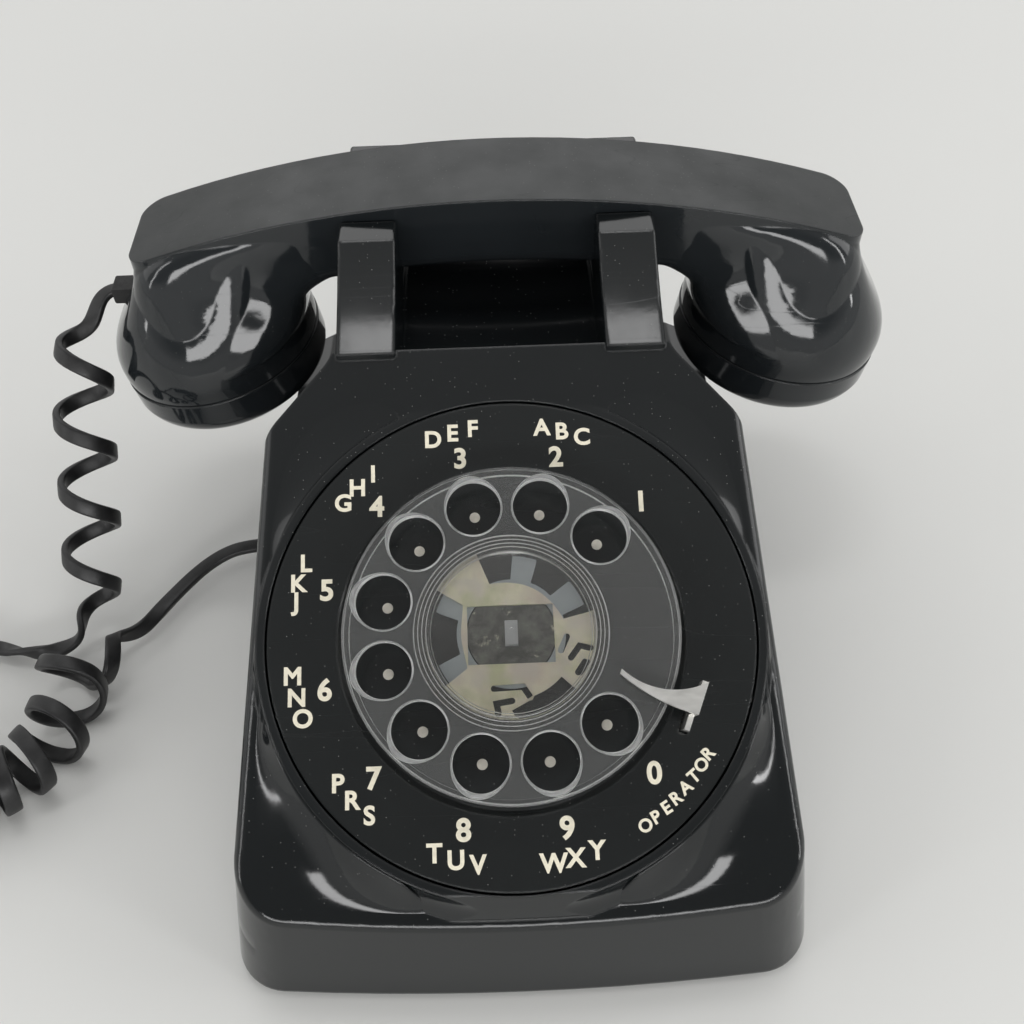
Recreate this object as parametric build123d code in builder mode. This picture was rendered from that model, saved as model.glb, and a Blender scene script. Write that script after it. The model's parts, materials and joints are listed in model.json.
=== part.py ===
# Rotary desk telephone, in millimetres, +Z up, front towards -Y, standing on z = 0.
import math
import os

from build123d import *

os.makedirs("parts", exist_ok=True)

# Housing
housing_depth = 213.0
housing_width = 147.0
skirt_height = 3.0
wall = 2.6
side_draft = 8.0
front_draft = 11.4
rear_draft = 2.0
front_bow = 3.5
corner_radius = 14.0
lip_height = 31.3
deck_angle = 30.4
edge_radius = 3.0
brow_setback = 129.0
form_height = 122.0
neck_width = 85.0
cheek_floor = 40.0
cheek_radius = 22.0
shoulder_radius = 12.0
trough_height = 91.0
trough_radius = 10.0
inlet_radius = 3.4
inlet_x = 30.0
inlet_height = 16.0

# Cradle
cradle_inset = 30.0
ear_width = 15.5
ear_thickness = 8.5
ear_height = 117.0
rear_ear_height = 115.0
ear_proud = 2.2
ear_tip_radius = 3.0
ear_edge_radius = 1.0
saddle_height = 96.35
saddle_play = 0.9

# Carrying recess below the back of the cradle
grip_width = 66.0
grip_height = 20.0
grip_depth = 17.0
grip_top = 84.0
grip_radius = 7.0

# Dial
dial_tilt = 26.8
dial_setback = 63.0
dial_height = 68.8
plate_radius = 59.5
plate_thickness = 1.4
plate_step_radius = 42.6
plate_recess = 1.6
plate_cone = 0.6
shaft_room = 1.0
collar_gap = 0.5
collar_width = 2.2
collar_rise = 0.3
collar_flare = 9.0
collar_drop = 8.7
wheel_radius = 40.1
wheel_top = 9.0
wheel_thickness = 2.8
wheel_rim = 1.5
wheel_dish = 1.2
hole_count = 10
hole_step = 30.0
first_hole_angle = 45.0
hole_circle_radius = 31.3
hole_radius = 6.7
window_radius = 23.3
window_thickness = 1.2
window_rise = 2.6
window_rings = 3
ring_step = 1.0
ring_rise = 0.5
window_gap = 0.1
window_seat = 1.8
ledge_width = 4.0
ledge_thickness = 1.4
clamp_radius = 20.5
clamp_thickness = 1.2
clamp_opening_width = 20.6
clamp_opening_height = 13.4
clamp_spoke_radius = 13.6
slot_width = 1.3
slot_length = 4.8
spring_ring_width = 2.4
spring_ring_thickness = 0.8
lug_width = 4.6
shaft_radius = 4.0
shaft_flat_width = 3.0
shaft_flat_length = 5.8
flange_radius = 10.6
flange_thickness = 1.2
stop_thickness = 1.3
stop_width = 8.0
stop_length = 19.8
stop_reach = 6.8
stop_clearance = 1.6
stop_angle = -22.0
stop_leg_width = 6.0
stop_leg_shift = 4.6
stop_slot_gap = 0.4
stop_foot_seat = 4.0

# Dial movement behind the number plate
frame_radius = 36.5
frame_thickness = 2.0
frame_gap = 3.6
frame_ear_width = 24.0
frame_ear_reach = 43.0
pillar_radius = 2.4
pillar_circle_radius = 31.0
bridge_drop = 14.0
gear_diameter = 37.8
gear_teeth = 54
pinion_teeth = 9
gear_thickness = 1.6
gear_gap = 2.4
tooth_share = 0.40
governor_radius = 7.4
governor_thickness = 3.0
governor_clearance = 0.8
governor_wall = 1.2
governor_gap = 2.0
cam_radius = 4.8
cam_thickness = 1.2
pinion_shaft_radius = 1.4
spring_barrel_radius = 11.0
spring_barrel_height = 8.0
spring_bore_gap = 0.4
leaf_thickness = 0.5
leaf_gap = 0.4
leaf_reach = 8.0
contact_block = 7.0
running_fit = 0.06
bracket_thickness = 2.0
bracket_spread = 6.0

# Base
plate_lift = 5.0
base_thickness = 2.0
base_gap = 0.6
foot_radius = 8.0
foot_inset = 27.0
foot_pin_radius = 2.0
screw_radius = 1.6
screw_head_radius = 3.4
screw_head_height = 2.0
post_radius = 4.2
post_inset = 15.0
rear_post_inset = 9.5
screw_length = 16.0
foot_round = 1.0
sound_slots = 3
sound_slot_spacing = 7.0
sound_slot_width = 2.6

# Handset
handset_width = 31.2
handset_thickness = 22.0
handset_top = 121.7
back_radius = 321.0
back_half_length = 104.5
cup_offset = 87.5
cup_lead = 1.5
cup_tilt = 10.0
cup_radius = 31.1
cup_collar = 7.0
seam_height = 66.5
cup_bore = 25.2
cup_depth = 11.0
cap_height = 14.0
cap_wall = 2.4
cap_face_radius = 25.5
cap_hole_radius = 1.3
cap_hole_spacing = 6.0
cap_step = 0.4
cap_dish = 1.5
handle_edge_radius = 5.0
facet_inner = 54.0
facet_margin = 2.0
facet_power = 6.0
end_corner = 7.0
swell_height = 20.0
swell_inner = 27.0
swell_outer = 22.5
swell_width = 50.0
swell_power = 2.8
elbow_x = 44.0
elbow_z = 83.0
elbow_radius = 13.0
elbow_width = 54.0
elbow_outer = 108.0
elbow_steps = 4
elbow_inset = 0.6
outline_points = 24
capsule_radius = 22.0
transmitter_height = 9.0
receiver_height = 12.0
capsule_wall = 1.5
cup_plate = 2.5
lift_rest_gap = 0.35
gland_width = 7.0
gland_height = 5.0
gland_reach = 3.0
gland_rise = 18.5
gland_seat = 4.0

# Hook switch
plunger_radius = 4.0
plunger_offset = 34.7
plunger_length = 34.0
plunger_travel = 6.0
plunger_flange = 4.9
lever_reach = 32.0
lever_width = 6.0
lever_thickness = 2.0
lever_gap = 0.4
pivot_radius = 1.5
hook_bracket_width = 24.0
hook_ear = 5.0

# Ringer
gong_radius = 17.0
gong_height = 13.0
gong_wall = 1.2
gong_round = 8.0
gong_spacing = 42.0
gong_x = 26.0
gong_inset = 36.5
gong_bottom = 15.0
stem_radius = 3.0
clapper_arm = 30.0
clapper_ball = 2.2
clapper_pin = 1.6
clapper_gap = 0.4
coil_radius = 8.0
coil_length = 24.0
coil_cheek = 1.6
coil_setback = 48.0
loudness_radius = 11.0
loudness_thickness = 3.2
loudness_x = 52.0
loudness_setback = 50.0
loudness_drop = 1.6
loudness_notches = 16
loudness_notch = 1.0

# Network
network_length = 56.0
network_width = 36.0
network_height = 24.0
network_x = -46.0
network_inset = 44.5
terminal_radius = 2.6
terminal_height = 3.0
terminal_rows = 4
network_corner = 3.0

# Curly cord
cord_width = 4.6
cord_thickness = 2.2
curl_radius = 7.9
table_gap = 0.1
drop_top_x = -126.0
drop_lead = 15.0
drop_top_z = 77.0
drop_foot_x = -131.5
drop_foot_y = 11.0
drop_foot_z = 6.0
drop_first_angle = 60.0
drop_last_angle = 37.0
drop_curls = 4
coil_bend = 30.0
coil_centre_x = -162.0
coil_centre_y = -22.0
coil_start_heading = 289.4
coil_spacing = 7.4
coil_curls = 13
tail_run = 13.0
tail_turns = ((-119.5, 2.5, 1.2), (-107.0, 24.5, 3.0), (-97.0, 33.5, 7.0))
tail_last_x = -86.5
tail_y = 36.0
tail_height = 10.0
grommet_face = 75.6
grommet_length = 9.0


def sind(angle):
    return math.sin(math.radians(angle))


def cosd(angle):
    return math.cos(math.radians(angle))


def tand(angle):
    return math.tan(math.radians(angle))


def at_radius(radius, angle):
    return (radius * cosd(angle), radius * sind(angle))


# Places that several pieces share
front_y = -housing_depth / 2
rear_y = housing_depth / 2
dial_y = front_y + dial_setback
handset_y = rear_y - cradle_inset
brow_y = front_y + brow_setback
lip_y = front_y + (lip_height - skirt_height) * tand(front_draft)
base_top = plate_lift + base_thickness
gong_y = rear_y - gong_inset
coil_y = gong_y - coil_setback
loudness_y = gong_y - loudness_setback
network_y = rear_y - network_inset
gear_module = gear_diameter / gear_teeth
neck_x = neck_width / 2
dial_origin = Vector(0, dial_y, dial_height)
dial_normal = Vector(0, -sind(dial_tilt), cosd(dial_tilt))
dial_up = Vector(0, cosd(dial_tilt), sind(dial_tilt))
dial_axis = Axis(dial_origin, dial_normal)
dial_plane = Plane(origin=dial_origin, x_dir=(1, 0, 0), z_dir=dial_normal)
dial_section = Plane(origin=dial_origin, x_dir=(1, 0, 0), z_dir=dial_up * -1)


post_places = [
    (housing_width / 2 - post_inset, front_y + post_inset),
    (post_inset - housing_width / 2, front_y + post_inset),
    (0, rear_y - rear_post_inset),
]
foot_places = [
    (side * (housing_width / 2 - foot_inset), end * (housing_depth / 2 - foot_inset))
    for side in (-1, 1)
    for end in (-1, 1)
]


def deck_height(y):
    return lip_height + (y - lip_y) * tand(deck_angle)


def deck_facing(face):
    return face.normal_at().dot(Vector(0, -sind(deck_angle), cosd(deck_angle))) > 0.999


def dial_at(height):
    return dial_plane.offset(height)


def dial_point(u, v, w):
    return dial_origin + Vector(u, 0, 0) + dial_up * v + dial_normal * w


def footprint(z, inset):
    rise = z - skirt_height
    half = housing_width / 2 - rise * tand(side_draft) - inset
    front = front_y + rise * tand(front_draft) + inset
    rear = rear_y - rise * tand(rear_draft) - inset
    with BuildSketch(Plane.XY.offset(z)) as outline:
        with BuildLine():
            ThreePointArc((-half, front + front_bow), (0, front), (half, front + front_bow))
            Polyline((half, front + front_bow), (half, rear), (-half, rear), (-half, front + front_bow))
        make_face()
        fillet(outline.vertices(), corner_radius - inset)
    return outline.sketch


def walls(inset):
    with BuildPart() as block:
        add(footprint(skirt_height - inset, inset))
        add(footprint(form_height, inset))
        loft()
    return block.part


def roof(inset):
    slope_drop = inset / cosd(deck_angle)
    low = trough_height - inset
    brow = deck_height(brow_y) - slope_drop
    back = handset_y + handset_width / 2 + saddle_play
    ahead = front_y - corner_radius
    far = housing_depth
    with BuildPart() as top:
        with BuildSketch(Plane.YZ) as side:
            with BuildLine():
                Polyline(
                    (ahead, -skirt_height),
                    (ahead, deck_height(ahead) - slope_drop),
                    (brow_y - inset / 2, brow),
                    (brow_y + trough_radius, low),
                    (back, low),
                    (back + trough_radius, brow),
                    (far, brow),
                    (far, -skirt_height),
                    (ahead, -skirt_height),
                )
            make_face()
        extrude(amount=housing_width, both=True)
    return top.part


def cheeks(inset):
    inner = neck_x - inset
    outer = housing_width
    low = cheek_floor - inset
    diagonal = brow_y + inset * (math.sqrt(2) - 1)
    with BuildPart() as both:
        with BuildSketch(Plane.XY) as plan:
            with BuildLine():
                Polyline(
                    (inner, diagonal),
                    (inner, housing_depth),
                    (outer, housing_depth),
                    (outer, diagonal - (outer - inner)),
                    (inner, diagonal),
                )
            make_face()
            fillet(plan.vertices().sort_by(Axis.X).group_by(Axis.X)[0].sort_by(Axis.Y)[0], shoulder_radius)
        extrude(amount=2 * form_height)
        with BuildSketch(Plane.XZ) as section:
            with BuildLine():
                Polyline(
                    (inner, low + cheek_radius),
                    (inner, 2 * form_height),
                    (outer, 2 * form_height),
                    (outer, low),
                )
                Line((outer, low), (inner + cheek_radius, low))
                RadiusArc((inner + cheek_radius, low), (inner, low + cheek_radius), cheek_radius)
            make_face()
        extrude(amount=housing_depth, both=True, mode=Mode.INTERSECT)
        mirror(about=Plane.YZ)
    return both.part


def collar(inset):
    rim = plate_radius + collar_gap + collar_width
    with BuildPart() as ring:
        with BuildSketch(dial_section):
            with BuildLine():
                Line((0, collar_rise - inset), (rim - inset / 2, collar_rise - inset))
                ThreePointArc(
                    (rim - inset / 2, collar_rise - inset),
                    (rim + 0.28 * collar_flare - inset / 2, -0.56 * collar_drop - inset),
                    (rim + collar_flare - inset / 2, -collar_drop - inset),
                )
                Polyline(
                    (rim + collar_flare - inset / 2, -collar_drop - inset),
                    (rim + collar_flare, -dial_height),
                    (0, -dial_height),
                    (0, collar_rise - inset),
                )
            make_face()
        revolve(axis=dial_axis)
    return ring.part


def grip(inset):
    with BuildPart() as recess:
        with BuildSketch(Plane.YZ):
            with Locations((rear_y, grip_top - grip_height / 2)):
                Rectangle(2 * (grip_depth + inset), grip_height + 2 * inset)
        extrude(amount=grip_width / 2 + inset, both=True)
        fillet(recess.edges().filter_by(Axis.X).group_by(Axis.Y)[0], grip_radius)
    return recess.part


def saddle(side):
    inner = handset_width / 2 + saddle_play
    near = handset_y - inner
    away = handset_y + inner
    foot_y = brow_y - ear_proud
    foot_z = deck_height(foot_y) + ear_proud
    middle_y = (foot_y + near - ear_thickness) / 2
    middle_z = foot_z + 0.40 * (ear_height - foot_z)
    plane = Plane.YZ.offset(side * (neck_x - ear_width / 2))
    with BuildPart() as cradle:
        with BuildSketch(plane) as profile:
            with BuildLine():
                ThreePointArc(
                    (foot_y, foot_z), (middle_y, middle_z), (near - ear_thickness, ear_height)
                )
                Polyline(
                    (near - ear_thickness, ear_height),
                    (near, ear_height),
                    (near, saddle_height),
                    (away, saddle_height),
                    (away, rear_ear_height),
                    (away + ear_thickness, rear_ear_height),
                    (away + ear_thickness + 1, trough_height - wall),
                    (foot_y, trough_height - wall),
                    (foot_y, foot_z),
                )
            make_face()
            tips = profile.vertices().filter_by(lambda corner: corner.Z > rear_ear_height - ear_tip_radius)
            fillet(tips, ear_tip_radius)
        extrude(amount=ear_width / 2, both=True)
        fillet(cradle.faces().filter_by(Axis.X).edges(), ear_edge_radius)
    return cradle.part


# Housing: a drafted shell under a sloping deck, with collar, cradle and carrying recess
outer_walls = walls(0)
outer_roof = roof(0)
outer_cheeks = cheeks(0)
outer_collar = collar(0)
collar_limit = walls(edge_radius / 2)
outer_grip = grip(0)
inner_walls = walls(wall)
inner_roof = roof(wall)
inner_cheeks = cheeks(wall)
inner_collar = collar(wall)
inner_grip = grip(wall)
cradle_left = saddle(-1)
cradle_right = saddle(1)

with BuildPart() as collar_mound:
    add(outer_collar)
    add(collar_limit, mode=Mode.INTERSECT)

with BuildPart() as hollow:
    add(inner_roof)
    add(inner_collar)
    add(inner_walls, mode=Mode.INTERSECT)
    add(inner_cheeks, mode=Mode.SUBTRACT)
    add(inner_grip, mode=Mode.SUBTRACT)

with BuildPart() as housing:
    add(outer_walls)
    add(outer_roof, mode=Mode.INTERSECT)
    deck_face = housing.faces().filter_by(deck_facing).sort_by(lambda face: face.area)[-1]
    fillet(deck_face.edges().filter_by(lambda edge: edge.center().Y < brow_y - edge_radius), edge_radius)
    add(collar_mound.part)
    add(outer_cheeks, mode=Mode.SUBTRACT)
    add(outer_grip, mode=Mode.SUBTRACT)
    add(cradle_left)
    add(cradle_right)
    add(hollow.part, mode=Mode.SUBTRACT)
    with BuildSketch(dial_at(collar_rise)):
        Circle(plate_radius + collar_gap)
    extrude(amount=-(dial_height / 2), mode=Mode.SUBTRACT)
    with BuildSketch(dial_at(collar_rise)):
        Circle(plate_radius + collar_gap)
    extrude(amount=plate_radius, mode=Mode.SUBTRACT)
    for x, y in post_places[:2]:
        with BuildSketch(Plane.XY.offset(base_top)):
            with Locations((x, y)):
                Circle(post_radius)
        extrude(amount=deck_height(y) - post_radius - base_top)
    with BuildSketch(Plane.XY.offset(base_top)):
        with Locations(post_places[2]):
            Circle(post_radius)
    extrude(amount=grip_top - grip_height - wall - base_top)
    with BuildSketch(Plane.XY.offset(base_top)):
        with Locations(*post_places):
            Circle(screw_radius)
    extrude(amount=screw_length, mode=Mode.SUBTRACT)
    with BuildSketch(Plane.XY.offset(trough_height - 2 * wall)):
        with Locations((plunger_offset, handset_y), (-plunger_offset, handset_y)):
            Circle(plunger_radius + running_fit)
    extrude(amount=saddle_height - trough_height + 3 * wall, mode=Mode.SUBTRACT)
    with BuildSketch(Plane.YZ.offset(-housing_width / 2)):
        with Locations((tail_y, tail_height)):
            Rectangle(gland_width, gland_height)
    extrude(amount=3 * wall, mode=Mode.SUBTRACT)
    with BuildSketch(Plane.XZ.offset(-rear_y)):
        with Locations((inlet_x, inlet_height)):
            Circle(inlet_radius)
    extrude(amount=3 * wall, mode=Mode.SUBTRACT)
housing.part.label = "housing"
export_step(housing.part, "parts/housing.step")


# Base plate: pressed steel, held by screws in three posts, standing on rubber feet
with BuildPart() as base_plate:
    add(footprint(plate_lift, wall + base_gap))
    extrude(amount=base_thickness)
    with BuildSketch(Plane.XY.offset(plate_lift)):
        with Locations(*post_places):
            Circle(screw_radius + base_gap)
        with Locations(*foot_places):
            Circle(foot_pin_radius)
        with Locations((loudness_x, loudness_y)):
            Rectangle(2 * loudness_radius, loudness_thickness + 2 * base_gap)
        with Locations((gong_x, gong_y)):
            with GridLocations(gong_spacing, sound_slot_spacing, 2, sound_slots):
                SlotOverall(gong_radius, sound_slot_width)
    extrude(amount=base_thickness, mode=Mode.SUBTRACT)
base_plate.part.label = "base_plate"
export_step(base_plate.part, "parts/base_plate.step")

with BuildPart() as feet:
    with BuildSketch(Plane.XY):
        with Locations(*foot_places):
            Circle(foot_radius)
    extrude(amount=plate_lift)
    fillet(feet.edges().group_by(Axis.Z)[0], foot_round)
    with BuildSketch(Plane.XY.offset(plate_lift)):
        with Locations(*foot_places):
            Circle(foot_pin_radius)
    extrude(amount=base_thickness)
feet.part.label = "feet"
export_step(feet.part, "parts/feet.step")

with BuildPart() as housing_screws:
    with BuildSketch(Plane.XY.offset(plate_lift)):
        with Locations(*post_places):
            Circle(screw_head_radius)
    extrude(amount=-screw_head_height)
    with BuildSketch(Plane.XY.offset(plate_lift)):
        with Locations(*post_places):
            Circle(screw_radius)
    extrude(amount=screw_length)
housing_screws.part.label = "housing_screws"
export_step(housing_screws.part, "parts/housing_screws.step")

# Levels of the dial's pieces, measured along its axis from the number plate's rim
recess_level = -plate_cone - plate_recess
ledge_top = wheel_top - wheel_dish - window_seat
ledge_bottom = ledge_top - ledge_thickness
clamp_bottom = ledge_bottom - clamp_thickness
flange_bottom = clamp_bottom - flange_thickness
frame_top = recess_level - plate_thickness - frame_gap
frame_bottom = frame_top - frame_thickness
gear_top = frame_bottom - gear_gap
gear_bottom = gear_top - gear_thickness
bridge_top = frame_bottom - bridge_drop
bridge_bottom = bridge_top - frame_thickness
pinion_v = gear_module * (gear_teeth + pinion_teeth) / 2
governor_outer = governor_radius + governor_clearance + governor_wall
stop_x = wheel_radius + stop_reach
stop_plane = Plane(
    origin=dial_origin,
    x_dir=Vector(cosd(stop_angle), 0, 0) + dial_up * sind(stop_angle),
    z_dir=dial_normal,
)

with BuildPart() as number_plate:
    with BuildSketch(dial_section):
        with BuildLine():
            Polyline(
                (shaft_radius + shaft_room, recess_level),
                (plate_step_radius - plate_recess, recess_level),
                (plate_step_radius, -plate_cone),
                (plate_radius, 0),
                (plate_radius, -plate_thickness),
                (plate_step_radius, -plate_cone - plate_thickness),
                (plate_step_radius - plate_recess, recess_level - plate_thickness),
                (shaft_radius + shaft_room, recess_level - plate_thickness),
                close=True,
            )
        make_face()
    revolve(axis=dial_axis)
    with BuildSketch(stop_plane):
        with Locations((stop_x - stop_thickness / 2, -stop_leg_shift)):
            Rectangle(stop_thickness + 2 * stop_slot_gap, stop_leg_width + 2 * stop_slot_gap)
    extrude(amount=plate_radius / 2, both=True, mode=Mode.SUBTRACT)
number_plate.part.label = "number_plate"
export_step(number_plate.part, "parts/number_plate.step")

with BuildPart() as finger_wheel:
    with BuildSketch(dial_section):
        with BuildLine():
            Polyline(
                (window_radius - ledge_width, ledge_bottom),
                (wheel_radius - wheel_rim, wheel_top - wheel_thickness),
                (wheel_radius - wheel_rim, wheel_top - wheel_thickness - wheel_rim),
                (wheel_radius, wheel_top - wheel_thickness - wheel_rim),
                (wheel_radius, wheel_top - wheel_rim / 2),
                (wheel_radius - wheel_rim / 2, wheel_top),
                (window_radius, wheel_top - wheel_dish),
                (window_radius, ledge_top),
                (window_radius - ledge_width, ledge_top),
                close=True,
            )
        make_face()
    revolve(axis=dial_axis)
    with BuildSketch(dial_plane):
        span = hole_step * (hole_count - 1)
        with PolarLocations(hole_circle_radius, hole_count, first_hole_angle, span, endpoint=True):
            Circle(hole_radius)
    extrude(amount=2 * wheel_top, mode=Mode.SUBTRACT)
finger_wheel.part.label = "finger_wheel"
export_step(finger_wheel.part, "parts/finger_wheel.step")


def dome_radius(half, rise):
    return (half**2 + rise**2) / (2 * rise)


with BuildPart() as card_window:
    lens_radius = window_radius - window_gap - window_rings * ring_step
    lens_edge = wheel_top - wheel_dish + window_rings * ring_rise
    with BuildSketch(dial_section):
        with BuildLine():
            corner = (window_radius - window_gap, ledge_top)
            for ring in range(window_rings):
                rise = wheel_top - wheel_dish + ring * ring_rise
                Polyline(corner, (corner[0], rise), (corner[0] - ring_step, rise))
                corner = (corner[0] - ring_step, rise)
            Line(corner, (lens_radius, lens_edge))
            crown = lens_edge + window_rise
            inner_radius = lens_radius - window_thickness
            RadiusArc((lens_radius, lens_edge), (0, crown), -dome_radius(lens_radius, window_rise))
            Line((0, crown), (0, crown - window_thickness))
            RadiusArc(
                (0, crown - window_thickness),
                (inner_radius, lens_edge - window_thickness),
                dome_radius(inner_radius, window_rise),
            )
            Polyline(
                (lens_radius - window_thickness, lens_edge - window_thickness),
                (lens_radius - window_thickness, ledge_top),
                (window_radius - window_gap, ledge_top),
            )
        make_face()
    revolve(axis=dial_axis)
card_window.part.label = "card_window"
export_step(card_window.part, "parts/card_window.step")


def window_sector(start, end):
    middle = (start + end) / 2
    reach = clamp_radius / cosd((end - start) / 2) + wall
    with BuildSketch() as sector:
        with BuildLine():
            Line(at_radius(clamp_spoke_radius, start), at_radius(reach, start))
            Polyline(at_radius(reach, start), at_radius(reach, middle), at_radius(reach, end))
            Line(at_radius(reach, end), at_radius(clamp_spoke_radius, end))
            ThreePointArc(
                at_radius(clamp_spoke_radius, end),
                at_radius(clamp_spoke_radius, middle),
                at_radius(clamp_spoke_radius, start),
            )
        make_face()
    return sector.sketch


def hooked_slot():
    with BuildSketch() as hook:
        with Locations((0, slot_length / 4)):
            SlotCenterToCenter(slot_length, slot_width)
        with Locations((slot_length / 2, 0)):
            SlotCenterToCenter(slot_length / 2, slot_width, rotation=90)
        with Locations((-slot_length / 4, -slot_length / 4)):
            SlotCenterToCenter(slot_length / 2, slot_width)
    return hook.sketch


left_window = window_sector(150, 215)
top_window = window_sector(15, 110)
clamp_slot = hooked_slot()

with BuildPart() as clamp_plate:
    with BuildSketch(dial_at(clamp_bottom)) as clamp_shape:
        Circle(clamp_radius)
    extrude(amount=clamp_thickness)
    with BuildSketch(dial_at(clamp_bottom)):
        Rectangle(clamp_opening_width, clamp_opening_height)
        add(left_window)
        add(top_window)
        for angle, turn in ((-88, 0), (-28, 60)):
            with Locations(Location((*at_radius(clamp_radius - slot_length, angle), 0), turn)):
                add(clamp_slot)
    extrude(amount=clamp_thickness, mode=Mode.SUBTRACT)
clamp_plate.part.label = "clamp_plate"
export_step(clamp_plate.part, "parts/clamp_plate.step")

with BuildPart() as card_spring:
    ring_inner = flange_radius + window_gap
    with BuildSketch(dial_at(clamp_bottom)):
        for angle in (150, 212, 84, 30):
            with Locations(Location((*at_radius(ring_inner + lug_width, angle), 0), angle)):
                Rectangle(lug_width, lug_width)
        Circle(ring_inner + spring_ring_width)
        Circle(ring_inner, mode=Mode.SUBTRACT)
    extrude(amount=-spring_ring_thickness)
card_spring.part.label = "card_spring"
export_step(card_spring.part, "parts/card_spring.step")

with BuildPart() as dial_shaft:
    with BuildSketch(dial_at(clamp_bottom)):
        Rectangle(shaft_flat_width, shaft_flat_length)
    extrude(amount=clamp_thickness + ledge_thickness / 2)
    with BuildSketch(dial_at(clamp_bottom)):
        Circle(flange_radius)
    extrude(amount=-flange_thickness)
    with BuildSketch(dial_at(flange_bottom)):
        Circle(shaft_radius)
    extrude(amount=bridge_bottom - flange_bottom)
dial_shaft.part.label = "dial_shaft"
export_step(dial_shaft.part, "parts/dial_shaft.step")

with BuildPart() as finger_stop:
    blade_low = wheel_top + stop_clearance
    blade_top = blade_low + stop_thickness
    tip_x = stop_x - stop_length
    half = stop_width / 2
    with BuildSketch(stop_plane.offset(blade_low)):
        with BuildLine():
            ThreePointArc((tip_x, 0), (tip_x + stop_length / 2, -0.30 * half), (stop_x, half))
            Line((stop_x, half), (stop_x, -half))
            ThreePointArc((stop_x, -half), (tip_x + 0.40 * stop_length, -0.85 * half), (tip_x, -0.30 * half))
            Line((tip_x, -0.30 * half), (tip_x, 0))
        make_face()
    extrude(amount=stop_thickness)
    with BuildSketch(stop_plane.offset(blade_low)):
        with Locations((stop_x - stop_thickness / 2, 0)):
            Rectangle(stop_thickness, stop_width)
    extrude(amount=-blade_low / 2)
    with BuildSketch(stop_plane.offset(blade_low / 2)):
        with Locations((stop_x - stop_thickness / 2, -stop_leg_shift)):
            Rectangle(stop_thickness, stop_leg_width)
    extrude(amount=frame_top - blade_low / 2)
    with BuildSketch(stop_plane.offset(frame_top)):
        foot_length = stop_x - frame_radius + stop_foot_seat
        with Locations((stop_x - foot_length / 2, -stop_leg_shift)):
            Rectangle(foot_length, stop_leg_width)
    extrude(amount=stop_thickness)
finger_stop.part.label = "finger_stop"
export_step(finger_stop.part, "parts/finger_stop.step")


# Dial movement: frame, bridge on three pillars, gear train, governor and pulse contacts
pillar_angles = (30, 150, 270)
pillar_places = [at_radius(pillar_circle_radius, angle) for angle in pillar_angles]

with BuildPart() as dial_frame:
    with BuildSketch(dial_at(frame_bottom)):
        Circle(frame_radius)
        Rectangle(2 * frame_ear_reach, frame_ear_width)
        Circle(shaft_radius + running_fit, mode=Mode.SUBTRACT)
        with Locations((0, pinion_v)):
            Circle(pinion_shaft_radius + running_fit, mode=Mode.SUBTRACT)
    extrude(amount=frame_thickness)
    with BuildSketch(dial_at(frame_top)):
        with Locations(*pillar_places):
            Circle(pillar_radius)
    extrude(amount=frame_gap)
dial_frame.part.label = "dial_frame"
export_step(dial_frame.part, "parts/dial_frame.step")

with BuildPart() as dial_bridge:
    with BuildSketch(dial_at(bridge_bottom)):
        with Locations(*pillar_places):
            Circle(2 * pillar_radius)
        with Locations((0, pinion_v)):
            Circle(governor_outer)
        make_hull()
        Circle(shaft_radius + running_fit, mode=Mode.SUBTRACT)
        with Locations((0, pinion_v)):
            Circle(pinion_shaft_radius + running_fit, mode=Mode.SUBTRACT)
    extrude(amount=frame_thickness)
    with BuildSketch(dial_at(bridge_top)):
        with Locations(*pillar_places):
            Circle(pillar_radius)
    extrude(amount=bridge_drop)
dial_bridge.part.label = "dial_bridge"
export_step(dial_bridge.part, "parts/dial_bridge.step")


def toothed_wheel(teeth, phase):
    pitch_radius = gear_module * teeth / 2
    root = pitch_radius - 1.25 * gear_module
    tip = pitch_radius + 0.85 * gear_module
    step = 360 / teeth
    with BuildSketch() as wheel:
        with BuildLine():
            corners = []
            for tooth in range(teeth):
                centre = phase + tooth * step
                corners.append(at_radius(root, centre - 0.62 * tooth_share * step))
                corners.append(at_radius(tip, centre - 0.22 * tooth_share * step))
                corners.append(at_radius(tip, centre + 0.22 * tooth_share * step))
                corners.append(at_radius(root, centre + 0.62 * tooth_share * step))
            Polyline(*corners, close=True)
        make_face()
    return wheel.sketch


gear_shape = toothed_wheel(gear_teeth, 90)
pinion_shape = toothed_wheel(pinion_teeth, -90 + 180 / pinion_teeth)

with BuildPart() as main_gear:
    with BuildSketch(dial_at(gear_bottom)):
        add(gear_shape)
        with PolarLocations(gear_module * gear_teeth / 4 + shaft_radius / 2, 5):
            Circle(shaft_radius / 2 + 1, mode=Mode.SUBTRACT)
        Circle(shaft_radius, mode=Mode.SUBTRACT)
    extrude(amount=gear_thickness)
main_gear.part.label = "main_gear"
export_step(main_gear.part, "parts/main_gear.step")

cam_top = gear_bottom - gear_gap
cam_bottom = cam_top - cam_thickness
governor_bottom = bridge_top + governor_gap
governor_top = governor_bottom + governor_thickness

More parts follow.
